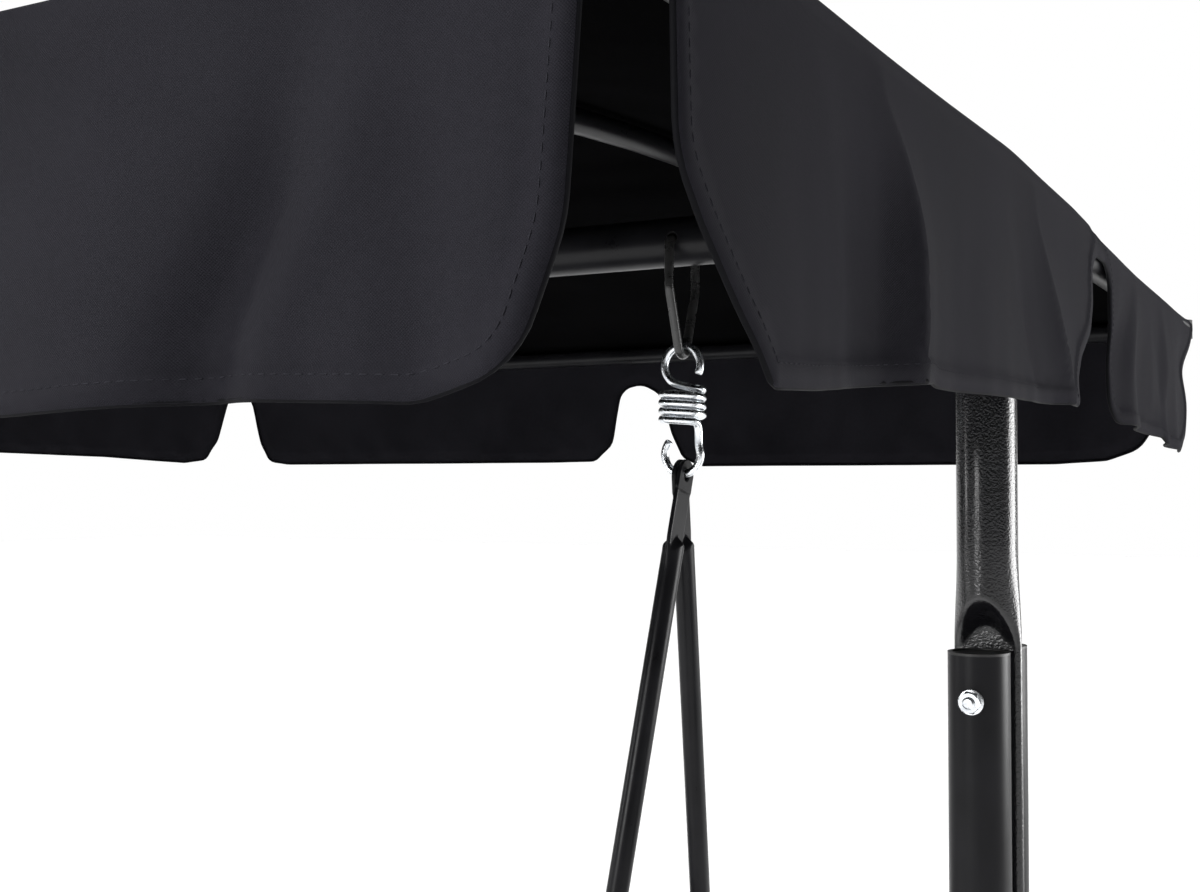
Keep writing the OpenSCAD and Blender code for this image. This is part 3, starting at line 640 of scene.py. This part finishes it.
def spin(profile, sides, centre, axis):
    """A turned solid: profile is (distance along the axis, radius)."""
    up, side = about(axis)
    rings = [[centre + axis * d + r * (math.cos(t) * up + math.sin(t) * side)
              for t in (2 * math.pi * k / sides for k in range(sides))] for d, r in profile]
    return loft(rings)


def hex_body(centre, axis, af, height, turn):
    """A hexagon whose corners are turned down at its outer face, along axis."""
    up, side = about(axis)
    n, whole = 60, 2.0      # a cap of 2 leaves the corners as they are
    rings = []
    for d, cap in ((0.0, 0.96), (0.0006, whole), (height - 0.0014, whole), (height - 0.0007, 1.055),
                   (height, 0.98)):
        pts = []
        for k in range(n):
            a = 2 * math.pi * k / n
            wedge = (a % (math.pi / 3)) - math.pi / 6
            r = min(af / 2 / math.cos(wedge), af / 2 * cap)
            pts.append(centre + axis * d + r * (math.cos(a + turn) * up + math.sin(a + turn) * side))
        rings.append(pts)
    return loft(rings)


def threaded(centre, axis, r, length, turns_per_m=800):
    """A bolt's end with a real spiral thread and a domed tip."""
    up, side = about(axis)
    rings = []
    sides, deep, tip, narrowing = 32, 0.0005, 0.0014, 0.0009
    steps = int(length * turns_per_m * 8)
    for i in range(steps + 1):
        d = length * i / steps
        pts = []
        for k in range(sides):
            a = 2 * math.pi * k / sides
            phase = (d * turns_per_m + k / sides) % 1
            cut = deep * abs(2 * phase - 1)
            taper = narrowing * smoothstep((d - length + tip) / tip)
            pts.append(centre + axis * d + (r - cut - taper) * (math.cos(a) * up + math.sin(a) * side))
        rings.append(pts)
    return loft(rings)


def post_fixings():
    reach = LEG_Y + POST_R + 0.0001
    across_flats, nut_high, head_high = 0.013, 0.0065, 0.0053
    bolt_r, sunk, past_nut = 0.004, 0.004, 0.0026
    washer = [(-0.0001, 0.0075), (-0.0001, 0.0082), (0.0009, 0.0082), (0.0011, 0.0078)]
    front = Vector((0, -1, 0))
    nuts, bolts = [], []
    for side in (-1, 1):
        for drop in (UPPER_BOLT, LOWER_BOLT):
            at = Vector((side * POST_X, -reach, BEAM_Z - drop))
            turn = math.radians(18 if drop == UPPER_BOLT else 41) * side
            nuts.append(hex_body(at, front, across_flats, nut_high, turn))
            nuts.append(spin(washer, 40, at, front))
            bolts.append(threaded(at - front * sunk, front, bolt_r, sunk + nut_high + past_nut))
            bolts.append(spin([(0, 0.0038), (0, bolt_r), (2 * reach - 0.003, bolt_r)], 32,
                              at - front * (2 * reach), front))
            bolts.append(hex_body(at - front * (2 * reach + 0.0001), -front, across_flats, head_high,
                                  math.radians(17)))
    for name, parts, stands in (("post_hex_nuts", nuts, "post_nuts"),
                                ("post_hex_bolts", bolts, "post_bolts")):
        obj = piece(name, *gather(*parts), ZINC, angle=28)
        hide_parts(stands)
        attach(obj, "stand")


post_fixings()

# ---------- canopy ----------

FOLD_DOWN = 0.0128      # below the roof's edge, where a valance hangs straight
FOLD_FLAT = 0.0166      # the same along the cloth
FOLD_R = 0.005          # how far the fold reaches in from the frame
# with a full tuck of 0.29, the fold reaches 0.56 further in and the roof's edge 0.85 further (in cm)
FULL_TUCK, FOLD_GROWTH, ROOF_PULL = 0.29, 0.56, 0.85
SAG, RUFFLE = 0.007, 0.0012
HEM_IN, HEM_OUT, HEM_SLOPE, HEM_THICK = 0.0092, 0.0106, 0.0014, 0.0010     # from the free edge
CLEAR = 0.0135          # the net's inner points keep this far from the free edge
CREASE_ROWS = (-0.006, -0.003, 0.0, 0.003, 0.006)
GRID = 0.01


def roof_height(x, y):
    across = max(0.0, (abs(x) - BOW_X) / (HALF_W - BOW_X))
    deep = y / HALF_D
    z = EDGE_Z + RISE * (1 - across) * (1 - deep * deep)
    # the cloth hangs a little between its bows and its rods
    if abs(x) < BOW_X:
        bay = math.sin(math.pi * min(1.0, abs(x) / BOW_X))
    else:
        bay = 0.6 * math.sin(math.pi * across)
    z -= SAG * bay * (1 - deep * deep)
    z += SIDE_TOP(y) * (1 - smoothstep((HALF_W - FOLD_R - abs(x)) / 0.05))
    return z + RUFFLE * noise.noise(Vector((x * 9, y * 9, 3))) * (1 - abs(deep))


def softened(points, step=0.006):
    """An outline from (along, drop, radius) corners, as evenly spaced (along, down the cloth) points."""
    pts = [Vector((p[0], p[1] + FOLD_FLAT - FOLD_DOWN if p[1] > 0 else 0.0, 0)) for p in points]
    radii = []
    for i, p in enumerate(points):
        if i in (0, len(points) - 1):
            radii.append(0.0)
            continue
        a, b = pts[i - 1] - pts[i], pts[i + 1] - pts[i]
        half = min(a.angle(b) / 2, 1.565)
        radii.append(max(0.0002, min(p[2], 0.48 * min(a.length, b.length) * math.tan(half))))
    path = rounded(pts, radii, 8)
    made = []
    for a, b in zip(path, path[1:]):
        n = max(1, int(round((b - a).length / step)))
        made += [tuple((a + (b - a) * k / n)[:2]) for k in range(n)]
    made.append(tuple(path[-1][:2]))
    kept = [made[0]]
    for p in made[1:-1]:
        if math.dist(p, kept[-1]) > 0.0012:
            kept.append(p)
    return kept + [made[-1]]


def notch(c, foot, hem, top, half=0.021):
    """An arched slit round c, as corners of an outline."""
    return [(c - foot, hem, 0.034), (c - half, top, half), (c + half, top, half), (c + foot, hem, 0.034)]


def inward(path, by):
    """The outline moved into the cloth."""
    made = []
    for i in range(len(path)):
        a, b = Vector(path[max(i - 1, 0)]), Vector(path[min(i + 1, len(path) - 1)])
        t = (b - a).normalized()
        made.append((path[i][0] + t.y * by, path[i][1] - t.x * by))
    return made


def inside(x, y, poly):
    """Whether a point lies in a closed outline, by counting the edges beside it."""
    hit = False
    j = len(poly) - 1
    for i in range(len(poly)):
        (xi, yi), (xj, yj) = poly[i], poly[j]
        if (yi > y) != (yj > y) and x < (xj - xi) * (y - yi) / (yj - yi) + xi:
            hit = not hit
        j = i
    return hit


class Flap:
    """One valance: its outline laid flat, and where each of its points hangs."""

    def __init__(self, spot, out, along, corners, wave, top, tuck, seed, ripple, creases=()):
        self.spot, self.out, self.along = Vector(spot), Vector(out), Vector(along)
        self.path = softened(corners)
        self.left, self.right = corners[0][0], corners[-1][0]
        self.wave, self.top, self.tuck, self.seed, self.ripple = wave, top, tuck, seed, ripple
        self.creases = creases
        self.bins = {}
        for a, b in zip(self.path, self.path[1:]):
            n = max(1, int(math.dist(a, b) / 0.002))
            for k in range(n):
                p = (a[0] + (b[0] - a[0]) * k / n, a[1] + (b[1] - a[1]) * k / n)
                for i in (-1, 0, 1):
                    self.bins.setdefault(int(p[0] // 0.02) + i, []).append(p)

    def hang(self, s, v, lift=0.0):
        """The top edge turns over its rod along a quarter of an ellipse, and the rest hangs from there."""
        q = math.pi / 2 * min(1.0, v / FOLD_FLAT)
        r = FOLD_R + self.tuck(s) * FOLD_GROWTH / FULL_TUCK
        out = -r * (1 - math.sin(q)) - self.tuck(s)
        z = EDGE_Z + self.top(s) - (FOLD_DOWN + self.top(s)) * (1 - math.cos(q)) - max(0.0, v - FOLD_FLAT)
        d = max(0.0, min(1.05, v / VALANCE))
        push = self.wave(s, d)
        n = noise.noise(Vector((s * 14, v * 9, self.seed))) * 0.0015 * d
        n += self.ripple * d ** 1.4 * noise.noise(Vector((s * 42 + v * 12, v * 15, self.seed + 5)))
        return self.spot + self.out * (out + push + n + lift) + self.along * s + Vector((0, 0, z))

    def mesh(self):
        """Flat points and triangles. Rows of points follow the hem so that its fold is real."""
        path = self.path
        pts = list(path)
        edges = [(i, i + 1) for i in range(len(path) - 1)]
        tops = int(round((self.right - self.left) / GRID))
        first = len(pts)
        for k in range(1, tops):
            pts.append((self.right - (self.right - self.left) * k / tops, 0.0))
        chain = [len(path) - 1] + list(range(first, len(pts))) + [0]
        edges += list(zip(chain, chain[1:]))
        for by in (HEM_IN, HEM_OUT):
            keep = [p for p in inward(path, by) if p[1] > 0.004 and self.depth(*p) > by - 0.001]
            a = len(pts)
            pts += keep
            edges += [(a + i, a + i + 1) for i in range(len(keep) - 1)
                      if math.dist(keep[i], keep[i + 1]) < 0.014]
        step, deepest = 0.0066, 0.16
        for row in range(1, int(deepest / (step * 0.87)) + 1):
            v = row * step * 0.87
            s = self.left + (step / 2 if row % 2 else 0.0)
            while s < self.right:
                if self.depth(s, v) > CLEAR and inside(s, v, path):
                    pts.append((s, v))
                s += step
        for line in self.creases:
            for k in range(3, 30):
                v = 0.005 * k
                s = line(v / VALANCE)
                pts += [(s + by, v) for by in CREASE_ROWS if self.depth(s + by, v) > CLEAR]
        made = geometry.delaunay_2d_cdt([Vector(p) for p in pts], edges, [], 0, 1e-5)
        flat = [tuple(p) for p in made[0]]
        tris = []
        for f in made[2]:
            c = (sum(flat[i][0] for i in f) / 3, sum(flat[i][1] for i in f) / 3)
            if inside(c[0], c[1], path):
                tris.append(tuple(f))
        return flat, tris

    def depth(self, s, v):
        """How far a flat point lies from the free edge."""
        near = self.bins.get(int(s // 0.02), [])
        return math.sqrt(min([(p[0] - s) ** 2 + (p[1] - v) ** 2 for p in near] or [1.0]))

    def hem(self, s, v):
        """How far the doubled hem stands out there."""
        return HEM_THICK * (1 - smoothstep((self.depth(s, v) - HEM_IN) / HEM_SLOPE))


# the sides' top edge, above the frame, and how far it is drawn in
SIDE_TOP = through((-0.63, 0.001), (-0.55, 0.006), (-0.472, 0.0075), (-0.40, 0.008), (-0.308, 0.0095),
                   (-0.211, 0.012), (-0.165, 0.013), (-0.09, 0.0115), (0.048, 0.009), (0.11, 0.005),
                   (0.2, 0.004), (0.3, 0.002), (0.45, -0.0005), (0.55, -0.0022), (0.63, -0.0022))
SIDE_TUCK = through((0.0, 0.0), (0.1, 0.001), (0.3, 0.0029), (0.63, 0.0029))
# across a crease: a valley, its crest at zero, and a long back
CREST = through((-0.085, 0.0), (-0.045, -0.62), (-0.022, -0.30), (-0.009, 0.5), (0.0, 1.0), (0.014, 0.80),
                (0.045, 0.30), (0.09, 0.0))
SIDE_SWELL = through((-0.61, 0.005), (-0.56, 0.009), (-0.50, 0.006), (-0.44, 0.002), (-0.30, 0.003),
                     (-0.22, 0.006), (-0.13, 0.0), (0.0, 0.0), (0.12, 0.0), (0.19, 0.008), (0.25, 0.0),
                     (0.34, 0.008), (0.395, 0.0), (0.45, 0.007), (0.50, 0.0), (0.61, -0.002))
# where each crease runs, by the share of the valance's drop
FIRST_CREASE = through((0.1, -0.410), (0.3, -0.392), (0.5, -0.387), (0.72, -0.386), (0.95, -0.394))
PLEAT = through((0.1, -0.128), (0.35, -0.108), (0.55, -0.090), (0.72, -0.070), (0.85, -0.058))
THIRD_CREASE = through((0.1, 0.25), (0.32, 0.227), (0.5, 0.192), (0.68, 0.172), (1.0, 0.165))
FOURTH_CREASE = through((0.1, 0.39), (0.5, 0.400), (0.7, 0.385), (0.9, 0.354))
LONG_SWELL = through((-0.97, 0.002), (-0.93, 0.011), (-0.87, -0.001), (-0.80, 0.009), (-0.72, 0.001),
                     (-0.62, 0.010), (-0.52, 0.0), (-0.40, 0.009), (-0.33, 0.003), (-0.25, 0.009),
                     (-0.16, -0.001), (-0.05, 0.010), (0.06, 0.0), (0.17, 0.010), (0.27, 0.002),
                     (0.38, 0.010), (0.49, 0.0), (0.60, 0.011), (0.68, 0.001), (0.78, 0.009),
                     (0.845, 0.001), (0.89, 0.005), (0.915, 0.001), (0.945, 0.007), (0.97, 0.003))
CORNER_VALLEY = through((0.0, 0.875), (0.18, 0.866), (0.36, 0.860), (0.57, 0.852), (0.78, 0.834),
                        (0.95, 0.824))


def side_wave(s, d):
    """A crease behind the front corner, a pleat at the slit and two soft ones behind it."""
    push = d ** 1.5 * SIDE_SWELL(s)
    for line, high, sharp, start in ((FIRST_CREASE, 0.0095, 0.0016, 0.6), (PLEAT, 0.0066, 0.0022, 0.7)):
        x = s - line(d)
        fold = high * CREST(x) + sharp * math.exp(-(x / 0.0038) ** 2)
        push += smoothstep(d / start) * fold * (1 - smoothstep((s + 0.02) / 0.05))
    push += 0.0045 * smoothstep(d / 0.5) * CREST(s - THIRD_CREASE(d))
    push += 0.0035 * smoothstep(d / 0.5) * CREST(s - FOURTH_CREASE(d))
    push -= 0.007 * math.exp(-((d - 0.40) / 0.20) ** 2) * smoothstep((s - 0.48) / 0.08)
    return push


def front_wave(s, d):
    """The valley that runs down beside each front corner turns the hem's end a little."""
    x = abs(s) - CORNER_VALLEY(d)
    push = d ** 1.4 * LONG_SWELL(s) - 0.0085 * smoothstep(d / 0.8) * math.exp(-(x / 0.016) ** 2)
    push += 0.0035 * smoothstep(d) * math.exp(-((x - 0.030) / 0.014) ** 2)
    return push


def rear_wave(s, d):
    """Loosely hung, with the hem's thread drawing the cloth into short slanting puckers."""
    push = d ** 1.5 * 0.9 * LONG_SWELL(-s)
    slant = s * 95 + (1 - d) * 11 + 2.6 * noise.noise(Vector((s * 9, 0, 7)))
    push += (0.0022 * smoothstep((d - 0.62) / 0.3) * math.sin(slant)
             * (0.55 + noise.noise(Vector((s * 6, 1, 2)))))
    return push


def level(s):
    """A top edge that lies straight on its rod, or no tuck."""
    return 0.0


# outlines laid flat: along the frame, down from it, and the corner's radius
FRONT_CORNERS = ([(-0.97, 0.0, 0), (-0.967, 0.105, 0.06), (-0.952, 0.142, 0.03), (-0.915, 0.149, 0.03)]
                 + notch(-0.328, 0.066, 0.148, 0.093) + notch(0.328, 0.072, 0.148, 0.093)
                 + [(0.74, 0.150, 0.3), (0.835, 0.147, 0.2), (0.912, 0.150, 0.03), (0.950, 0.142, 0.026),
                    (0.964, 0.100, 0.06), (0.97, 0.0, 0)])
REAR_CORNERS = [(-0.95, 0.0, 0), (-0.945, 0.060, 0.06), (-0.925, 0.109, 0.03), (-0.88, 0.115, 0.03),
                (-0.605, 0.126, 0.2), (-0.430, 0.137, 0.03), (-0.393, 0.133, 0.02), (-0.368, 0.107, 0.03),
                (-0.346, 0.056, 0.02), (-0.337, 0.0385, 0.020), (-0.303, 0.0385, 0.020),
                (-0.294, 0.056, 0.02), (-0.278, 0.112, 0.03), (-0.262, 0.137, 0.02), (-0.230, 0.141, 0.03),
                (0.20, 0.142, 0.2), (0.270, 0.141, 0.02), (0.296, 0.122, 0.02), (0.304, 0.084, 0.03),
                (0.311, 0.052, 0.024), (0.341, 0.046, 0.030), (0.367, 0.060, 0.026), (0.381, 0.110, 0.03),
                (0.394, 0.138, 0.015), (0.416, 0.148, 0.02), (0.84, 0.149, 0.2), (0.893, 0.146, 0.02),
                (0.925, 0.134, 0.03), (0.941, 0.110, 0.03), (0.95, 0.0, 0)]
SIDE_CORNERS = [(-0.605, 0.0, 0), (-0.607, 0.078, 0.03), (-0.593, 0.097, 0.02), (-0.551, 0.1435, 0.006),
                (-0.504, 0.141, 0.1), (-0.366, 0.130, 0.02), (-0.348, 0.131, 0.02), (-0.119, 0.125, 0.1),
                (-0.009, 0.1225, 0.005), (-0.017, 0.108, 0.02), (0.000, 0.090, 0.03), (0.033, 0.071, 0.03),
                (0.045, 0.050, 0.02), (0.043, 0.024, 0.03), (0.066, 0.0142, 0.012), (0.100, 0.0142, 0.012),
                (0.121, 0.022, 0.02), (0.122, 0.080, 0.1), (0.128, 0.113, 0.03), (0.146, 0.1275, 0.015),
                (0.246, 0.129, 0.1), (0.337, 0.132, 0.01), (0.345, 0.137, 0.01), (0.500, 0.141, 0.02),
                (0.545, 0.124, 0.03), (0.563, 0.092, 0.03), (0.576, 0.060, 0.03), (0.607, 0.034, 0.02),
                (0.615, 0.0, 0)]
SIDE_CREASES = (FIRST_CREASE, PLEAT)
FLAPS = [
    Flap((0, -HALF_D, 0), (0, -1, 0), (1, 0, 0), FRONT_CORNERS, front_wave, level, level, 1.0, 0.0),
    Flap((0, HALF_D, 0), (0, 1, 0), (1, 0, 0), REAR_CORNERS, rear_wave, level, level, 2.0, 0.0035),
    Flap((HALF_W, 0, 0), (1, 0, 0), (0, 1, 0), SIDE_CORNERS, side_wave, SIDE_TOP, SIDE_TUCK, 3.0, 0.0008,
         SIDE_CREASES),
    Flap((-HALF_W, 0, 0), (-1, 0, 0), (0, 1, 0), SIDE_CORNERS, side_wave, SIDE_TOP, SIDE_TUCK, 4.0, 0.0012,
         SIDE_CREASES),
]


def canopy_cover():
    """The roof's grid and the four valances, merged into one sheet where they meet."""
    verts, faces, uvs = [], [], []
    nx, ny = 196, 125
    for j in range(ny + 1):
        for i in range(nx + 1):
            x, y = -0.98 + GRID * i, -0.625 + GRID * j
            if i in (0, nx):
                x = math.copysign(HALF_W - FOLD_R - SIDE_TUCK(y) * ROOF_PULL / FULL_TUCK, x)
            rim = i in (0, nx) or j in (0, ny)
            z = EDGE_Z + (SIDE_TOP(y) if i in (0, nx) else 0.0) if rim else roof_height(x, y)
            verts.append(Vector((x, y, z)))
            uvs.append((x, y))
    for j in range(ny):
        for i in range(nx):
            a = j * (nx + 1) + i
            faces.append((a, a + 1, a + nx + 2, a + nx + 1))
    for flap in FLAPS:
        flat, tris = flap.mesh()
        base = len(verts)
        turned = flap.out.cross(UP).dot(flap.along) > 0
        for s, v in flat:
            verts.append(flap.hang(s, v, flap.hem(s, v)))
            uvs.append((s, v) if abs(flap.along.x) > 0 else (v, s))
        for t in tris:
            t = tuple(base + k for k in t)
            faces.append(t if turned else t[::-1])
    mesh = bpy.data.meshes.new("canopy_cover")
    mesh.from_pydata([tuple(v) for v in verts], [], faces)
    layer = mesh.uv_layers.new(name="metres")
    for loop in mesh.loops:
        layer.data[loop.index].uv = uvs[loop.vertex_index]
    bm = bmesh.new()
    bm.from_mesh(mesh)
    bmesh.ops.remove_doubles(bm, verts=bm.verts, dist=0.0004)
    bm.to_mesh(mesh)
    bm.free()
    # outer faces take the canopy cloth; the solidified inner faces take the roof's and the valances'
    # painted shade
    for finish in (CANOPY, ROOF_UNDERSIDE_SHADE, CANOPY, VALANCE_INSIDE_SHADE):
        mesh.materials.append(finish)
    for face in mesh.polygons:
        low = min(mesh.vertices[i].co.z for i in face.vertices)
        face.material_index = 2 if low < EDGE_Z - 0.003 else 0
    mesh.shade_smooth()
    obj = bpy.data.objects.new("canopy_cover", mesh)
    scene.collection.objects.link(obj)
    m = obj.modifiers.new("thickness", "SOLIDIFY")
    m.thickness, m.offset, m.use_quality_normals, m.material_offset = CLOTH, -1, True, 1
    return obj


def edge_walk(flap, by, lift, step):
    """Evenly spaced points along a valance's free edge, moved into the cloth by some metres."""
    rod, gap, fine = 0.010, 0.03, 0.001
    path = [p for p in inward(flap.path, by) if p[1] > rod]
    pts = []
    for a, b in zip(path, path[1:]):
        if math.dist(a, b) > gap:
            continue
        n = max(1, int(math.dist(a, b) / fine))
        pts += [(a[0] + (b[0] - a[0]) * k / n, a[1] + (b[1] - a[1]) * k / n) for k in range(n)]
    walked, kept = 0.0, [pts[0]]
    for a, b in zip(pts, pts[1:]):
        walked += math.dist(a, b)
        if walked >= step:
            kept.append(b)
            walked = 0.0
    return [flap.hang(s, v, lift) for s, v in kept]


def canopy_binding():
    """The tape sewn round every valance's free edge."""
    parts = []
    for flap in FLAPS:
        path = edge_walk(flap, 0.0004, -0.0004, 0.005)
        parts.append(wire(path, 0.0013, 8, flap.out))
    return piece("canopy_binding", *gather(*parts), BINDING)


def canopy_stitches():
    """The hem's row of stitches: each one a short raised thread."""
    stitch = ((-0.0015, 0.0001), (-0.0008, 0.00026), (0.0008, 0.00026), (0.0015, 0.0001))
    parts = []
    for flap in FLAPS:
        path = edge_walk(flap, 0.0080, 0.0011, 0.0042)
        for a, b in zip(path, path[1:]):
            if (b - a).length > 0.008:
                continue
            t = (b - a).normalized()
            out = (flap.out - t * flap.out.dot(t)).normalized()
            side = t.cross(out)
            mid = (a + b) / 2
            ring = []
            for at, r in stitch:
                ring.append([mid + t * at + r * (math.cos(q) * out * 0.7 + math.sin(q) * side)
                             for q in (2 * math.pi * k / 5 for k in range(5))])
            parts.append(loft(ring))
    return piece("canopy_stitches", *gather(*parts), THREAD)


cover = canopy_cover()
binding = canopy_binding()
stitches = canopy_stitches()
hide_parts("canopy_roof", "front_valance", "rear_valance", "left_valance", "right_valance")
for obj in (cover, binding, stitches):
    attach(obj, "canopy")

# ---------- cushions ----------

def plan(w, d, corner, inset, z, n=40):
    """A rounded rectangle over 0..d in depth, moved in by inset."""
    hw, r = w / 2 - inset, max(0.004, corner - inset * 0.6)
    pts = []
    for i, (sx, sy) in enumerate(((1, 1), (-1, 1), (-1, -1), (1, -1))):
        cx, cy = sx * (hw - r), d / 2 + sy * (d / 2 - inset - r)
        for k in range(n):
            a = math.pi / 2 * (i + k / (n - 1))
            pts.append(Vector((cx + r * math.cos(a), cy + r * math.sin(a), z)))
    return pts


def cushion(name, node, w, d, low, high, full, channels, place):
    """A sewn pad: its seam and channels are held while the cloth between them is blown up."""
    mid = (low + high) / 2
    half = (high - low) / 2
    edge, limit, corner, round_in = 0.006, 0.022, 0.045, 0.026
    seam_wide, seam_deep, inset = 0.0046, 0.026, 0.001
    rings = []
    for k in range(15):
        a = math.pi * (k / 14 - 0.5)
        rings.append(plan(w - 2 * edge, d - 2 * edge, corner, round_in * (1 - math.cos(a)) ** 1.4,
                          mid + half * math.sin(a)))
    rings = [[p + Vector((0, edge, 0)) for p in ring] for ring in rings]
    rough = piece(name + "_rough", *loft(rings), CUSHION)
    m = rough.modifiers.new("remesh", "REMESH")
    m.mode, m.voxel_size = "VOXEL", 0.006
    mesh = bpy.data.meshes.new_from_object(rough.evaluated_get(bpy.context.evaluated_depsgraph_get()))
    bpy.data.objects.remove(rough)
    mesh.materials.clear()
    mesh.materials.append(CUSHION)
    obj = bpy.data.objects.new(name, mesh)
    scene.collection.objects.link(obj)
    rest = [v.co.copy() for v in mesh.vertices]
    held = []
    for i, p in enumerate(rest):
        rim = min(w / 2 - abs(p.x), p.y, d - p.y)
        on_seam = abs(p.z - mid) < seam_wide and rim < seam_deep
        if on_seam or any(abs(p.x - c) < seam_wide for c in channels):
            held.append(i)
    pins = obj.vertex_groups.new(name="seams")
    pins.add(held, 1.0, "REPLACE")
    m = obj.modifiers.new("cloth", "CLOTH")
    m.settings.quality = 5
    m.settings.vertex_group_mass = "seams"
    m.settings.use_pressure = True
    m.settings.uniform_pressure_force = 4.0
    m.settings.effector_weights.gravity = 0.0
    m.point_cache.frame_start, m.point_cache.frame_end = 1, 20
    for frame_number in range(1, 21):
        scene.frame_set(frame_number)
    blown = obj.evaluated_get(bpy.context.evaluated_depsgraph_get())
    moved = [v.co.copy() for v in blown.to_mesh().vertices]
    blown.to_mesh_clear()
    obj.modifiers.remove(m)
    scene.frame_set(1)
    for v, a, b in zip(mesh.vertices, rest, moved):
        step = b - a
        far = step.length
        if far > 1e-6:
            step *= limit * math.tanh(far / limit) / far
        v.co = a + step
    for v in mesh.vertices:
        p = v.co
        wrinkle = noise.noise(Vector((p.x * 7, p.y * 11, 2.5)))
        wrinkle += 0.5 * noise.noise(Vector((p.x * 19, p.y * 23, 8.5)))
        v.co.z = min(full, max(0.0, p.z + 0.0016 * wrinkle))
        v.co.x = max(-w / 2 + inset, min(w / 2 - inset, p.x))
        v.co.y = max(inset, min(d - inset, p.y))
    mesh.transform(place)
    mesh.shade_smooth()
    m = obj.modifiers.new("smooth", "SUBSURF")
    m.levels = m.render_levels = 1
    seam = plan(w - 2 * edge, d - 2 * edge, corner, 0.0, mid)
    seam = [place @ (p + Vector((0, edge, 0))) for p in seam]
    out = place.to_3x3() @ UP
    closed = seam + seam[:1]
    piping = piece(name + "_piping", *wire(closed, 0.0032, 12, out), BINDING)
    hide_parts(node)
    for o in (obj, piping):
        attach(o, "bench")


cushion("seat_pad", "seat_cushion", 1.190, 0.525, 0.002, 0.051, 0.0632, (-0.198, 0.198),
        Matrix.Translation((0, SEAT_FRONT, SEAT_TOP)))
cushion("back_pad", "back_cushion", 1.150, 0.396, 0.002, 0.037, 0.0472, (-0.192, 0.192),
        Matrix.Translation((0, BACK_Y, SEAT_Z)) @ Matrix.Rotation(-BACK_TILT, 4, "X")
        @ Matrix.Translation((0, -0.012, 0.086)) @ Matrix.Rotation(math.radians(90), 4, "X"))

# ---------- stage ----------

scene.view_settings.view_transform = "Standard"
floor = piece("floor", [(-30, -30, 0), (30, -30, 0), (30, 30, 0), (-30, 30, 0)], [(0, 1, 2, 3)],
              Nodes("pale_floor", Base_Color=(0.9, 0.9, 0.9, 1), Roughness=0.9).material, smooth=False)

# a dim surround, with one broad white wall behind the bench in the photograph's view
world = bpy.data.worlds.new("studio")
world.use_nodes = True
tree = world.node_tree
way = tree.nodes.new("ShaderNodeVectorMath")
way.operation = "DOT_PRODUCT"
tree.links.new(tree.nodes.new("ShaderNodeTexCoord").outputs["Generated"], way.inputs[0])
way.inputs[1].default_value = (-0.482, 0.876, 0.0)
wall = tree.nodes.new("ShaderNodeMapRange")
wall.interpolation_type = "SMOOTHSTEP"
for key, value in (("From Min", 0.6), ("From Max", 0.86), ("To Min", 0.09), ("To Max", 1.0)):
    wall.inputs[key].default_value = value
tree.links.new(way.outputs["Value"], wall.inputs["Value"])
tree.links.new(wall.outputs["Result"], tree.nodes["Background"].inputs["Strength"])
tree.nodes["Background"].inputs["Color"].default_value = (1, 1, 1, 1)
scene.world = world

sun = bpy.data.objects.new("overhead", bpy.data.lights.new("overhead", "SUN"))
sun.data.energy, sun.data.angle = 3.4, math.radians(16)
scene.collection.objects.link(sun)


def softbox(name, at, target, size, watts):
    light = bpy.data.lights.new(name, "AREA")
    light.shape, light.size, light.size_y, light.energy = "RECTANGLE", size[0], size[1], watts
    obj = bpy.data.objects.new(name, light)
    obj.location = at
    obj.rotation_euler = (Vector(target) - Vector(at)).to_track_quat("-Z", "Y").to_euler()
    scene.collection.objects.link(obj)


softbox("key", (-0.6, -3.4, 2.4), (0.6, 0, 1.3), (1.1, 2.2), 135)
softbox("rim", (3.0, 1.5, 1.25), (0.9, 0, 1.35), (1.5, 0.9), 52)
softbox("side", (-3.6, -1.7, 2.1), (0.3, -0.6, 1.45), (0.7, 1.6), 60)
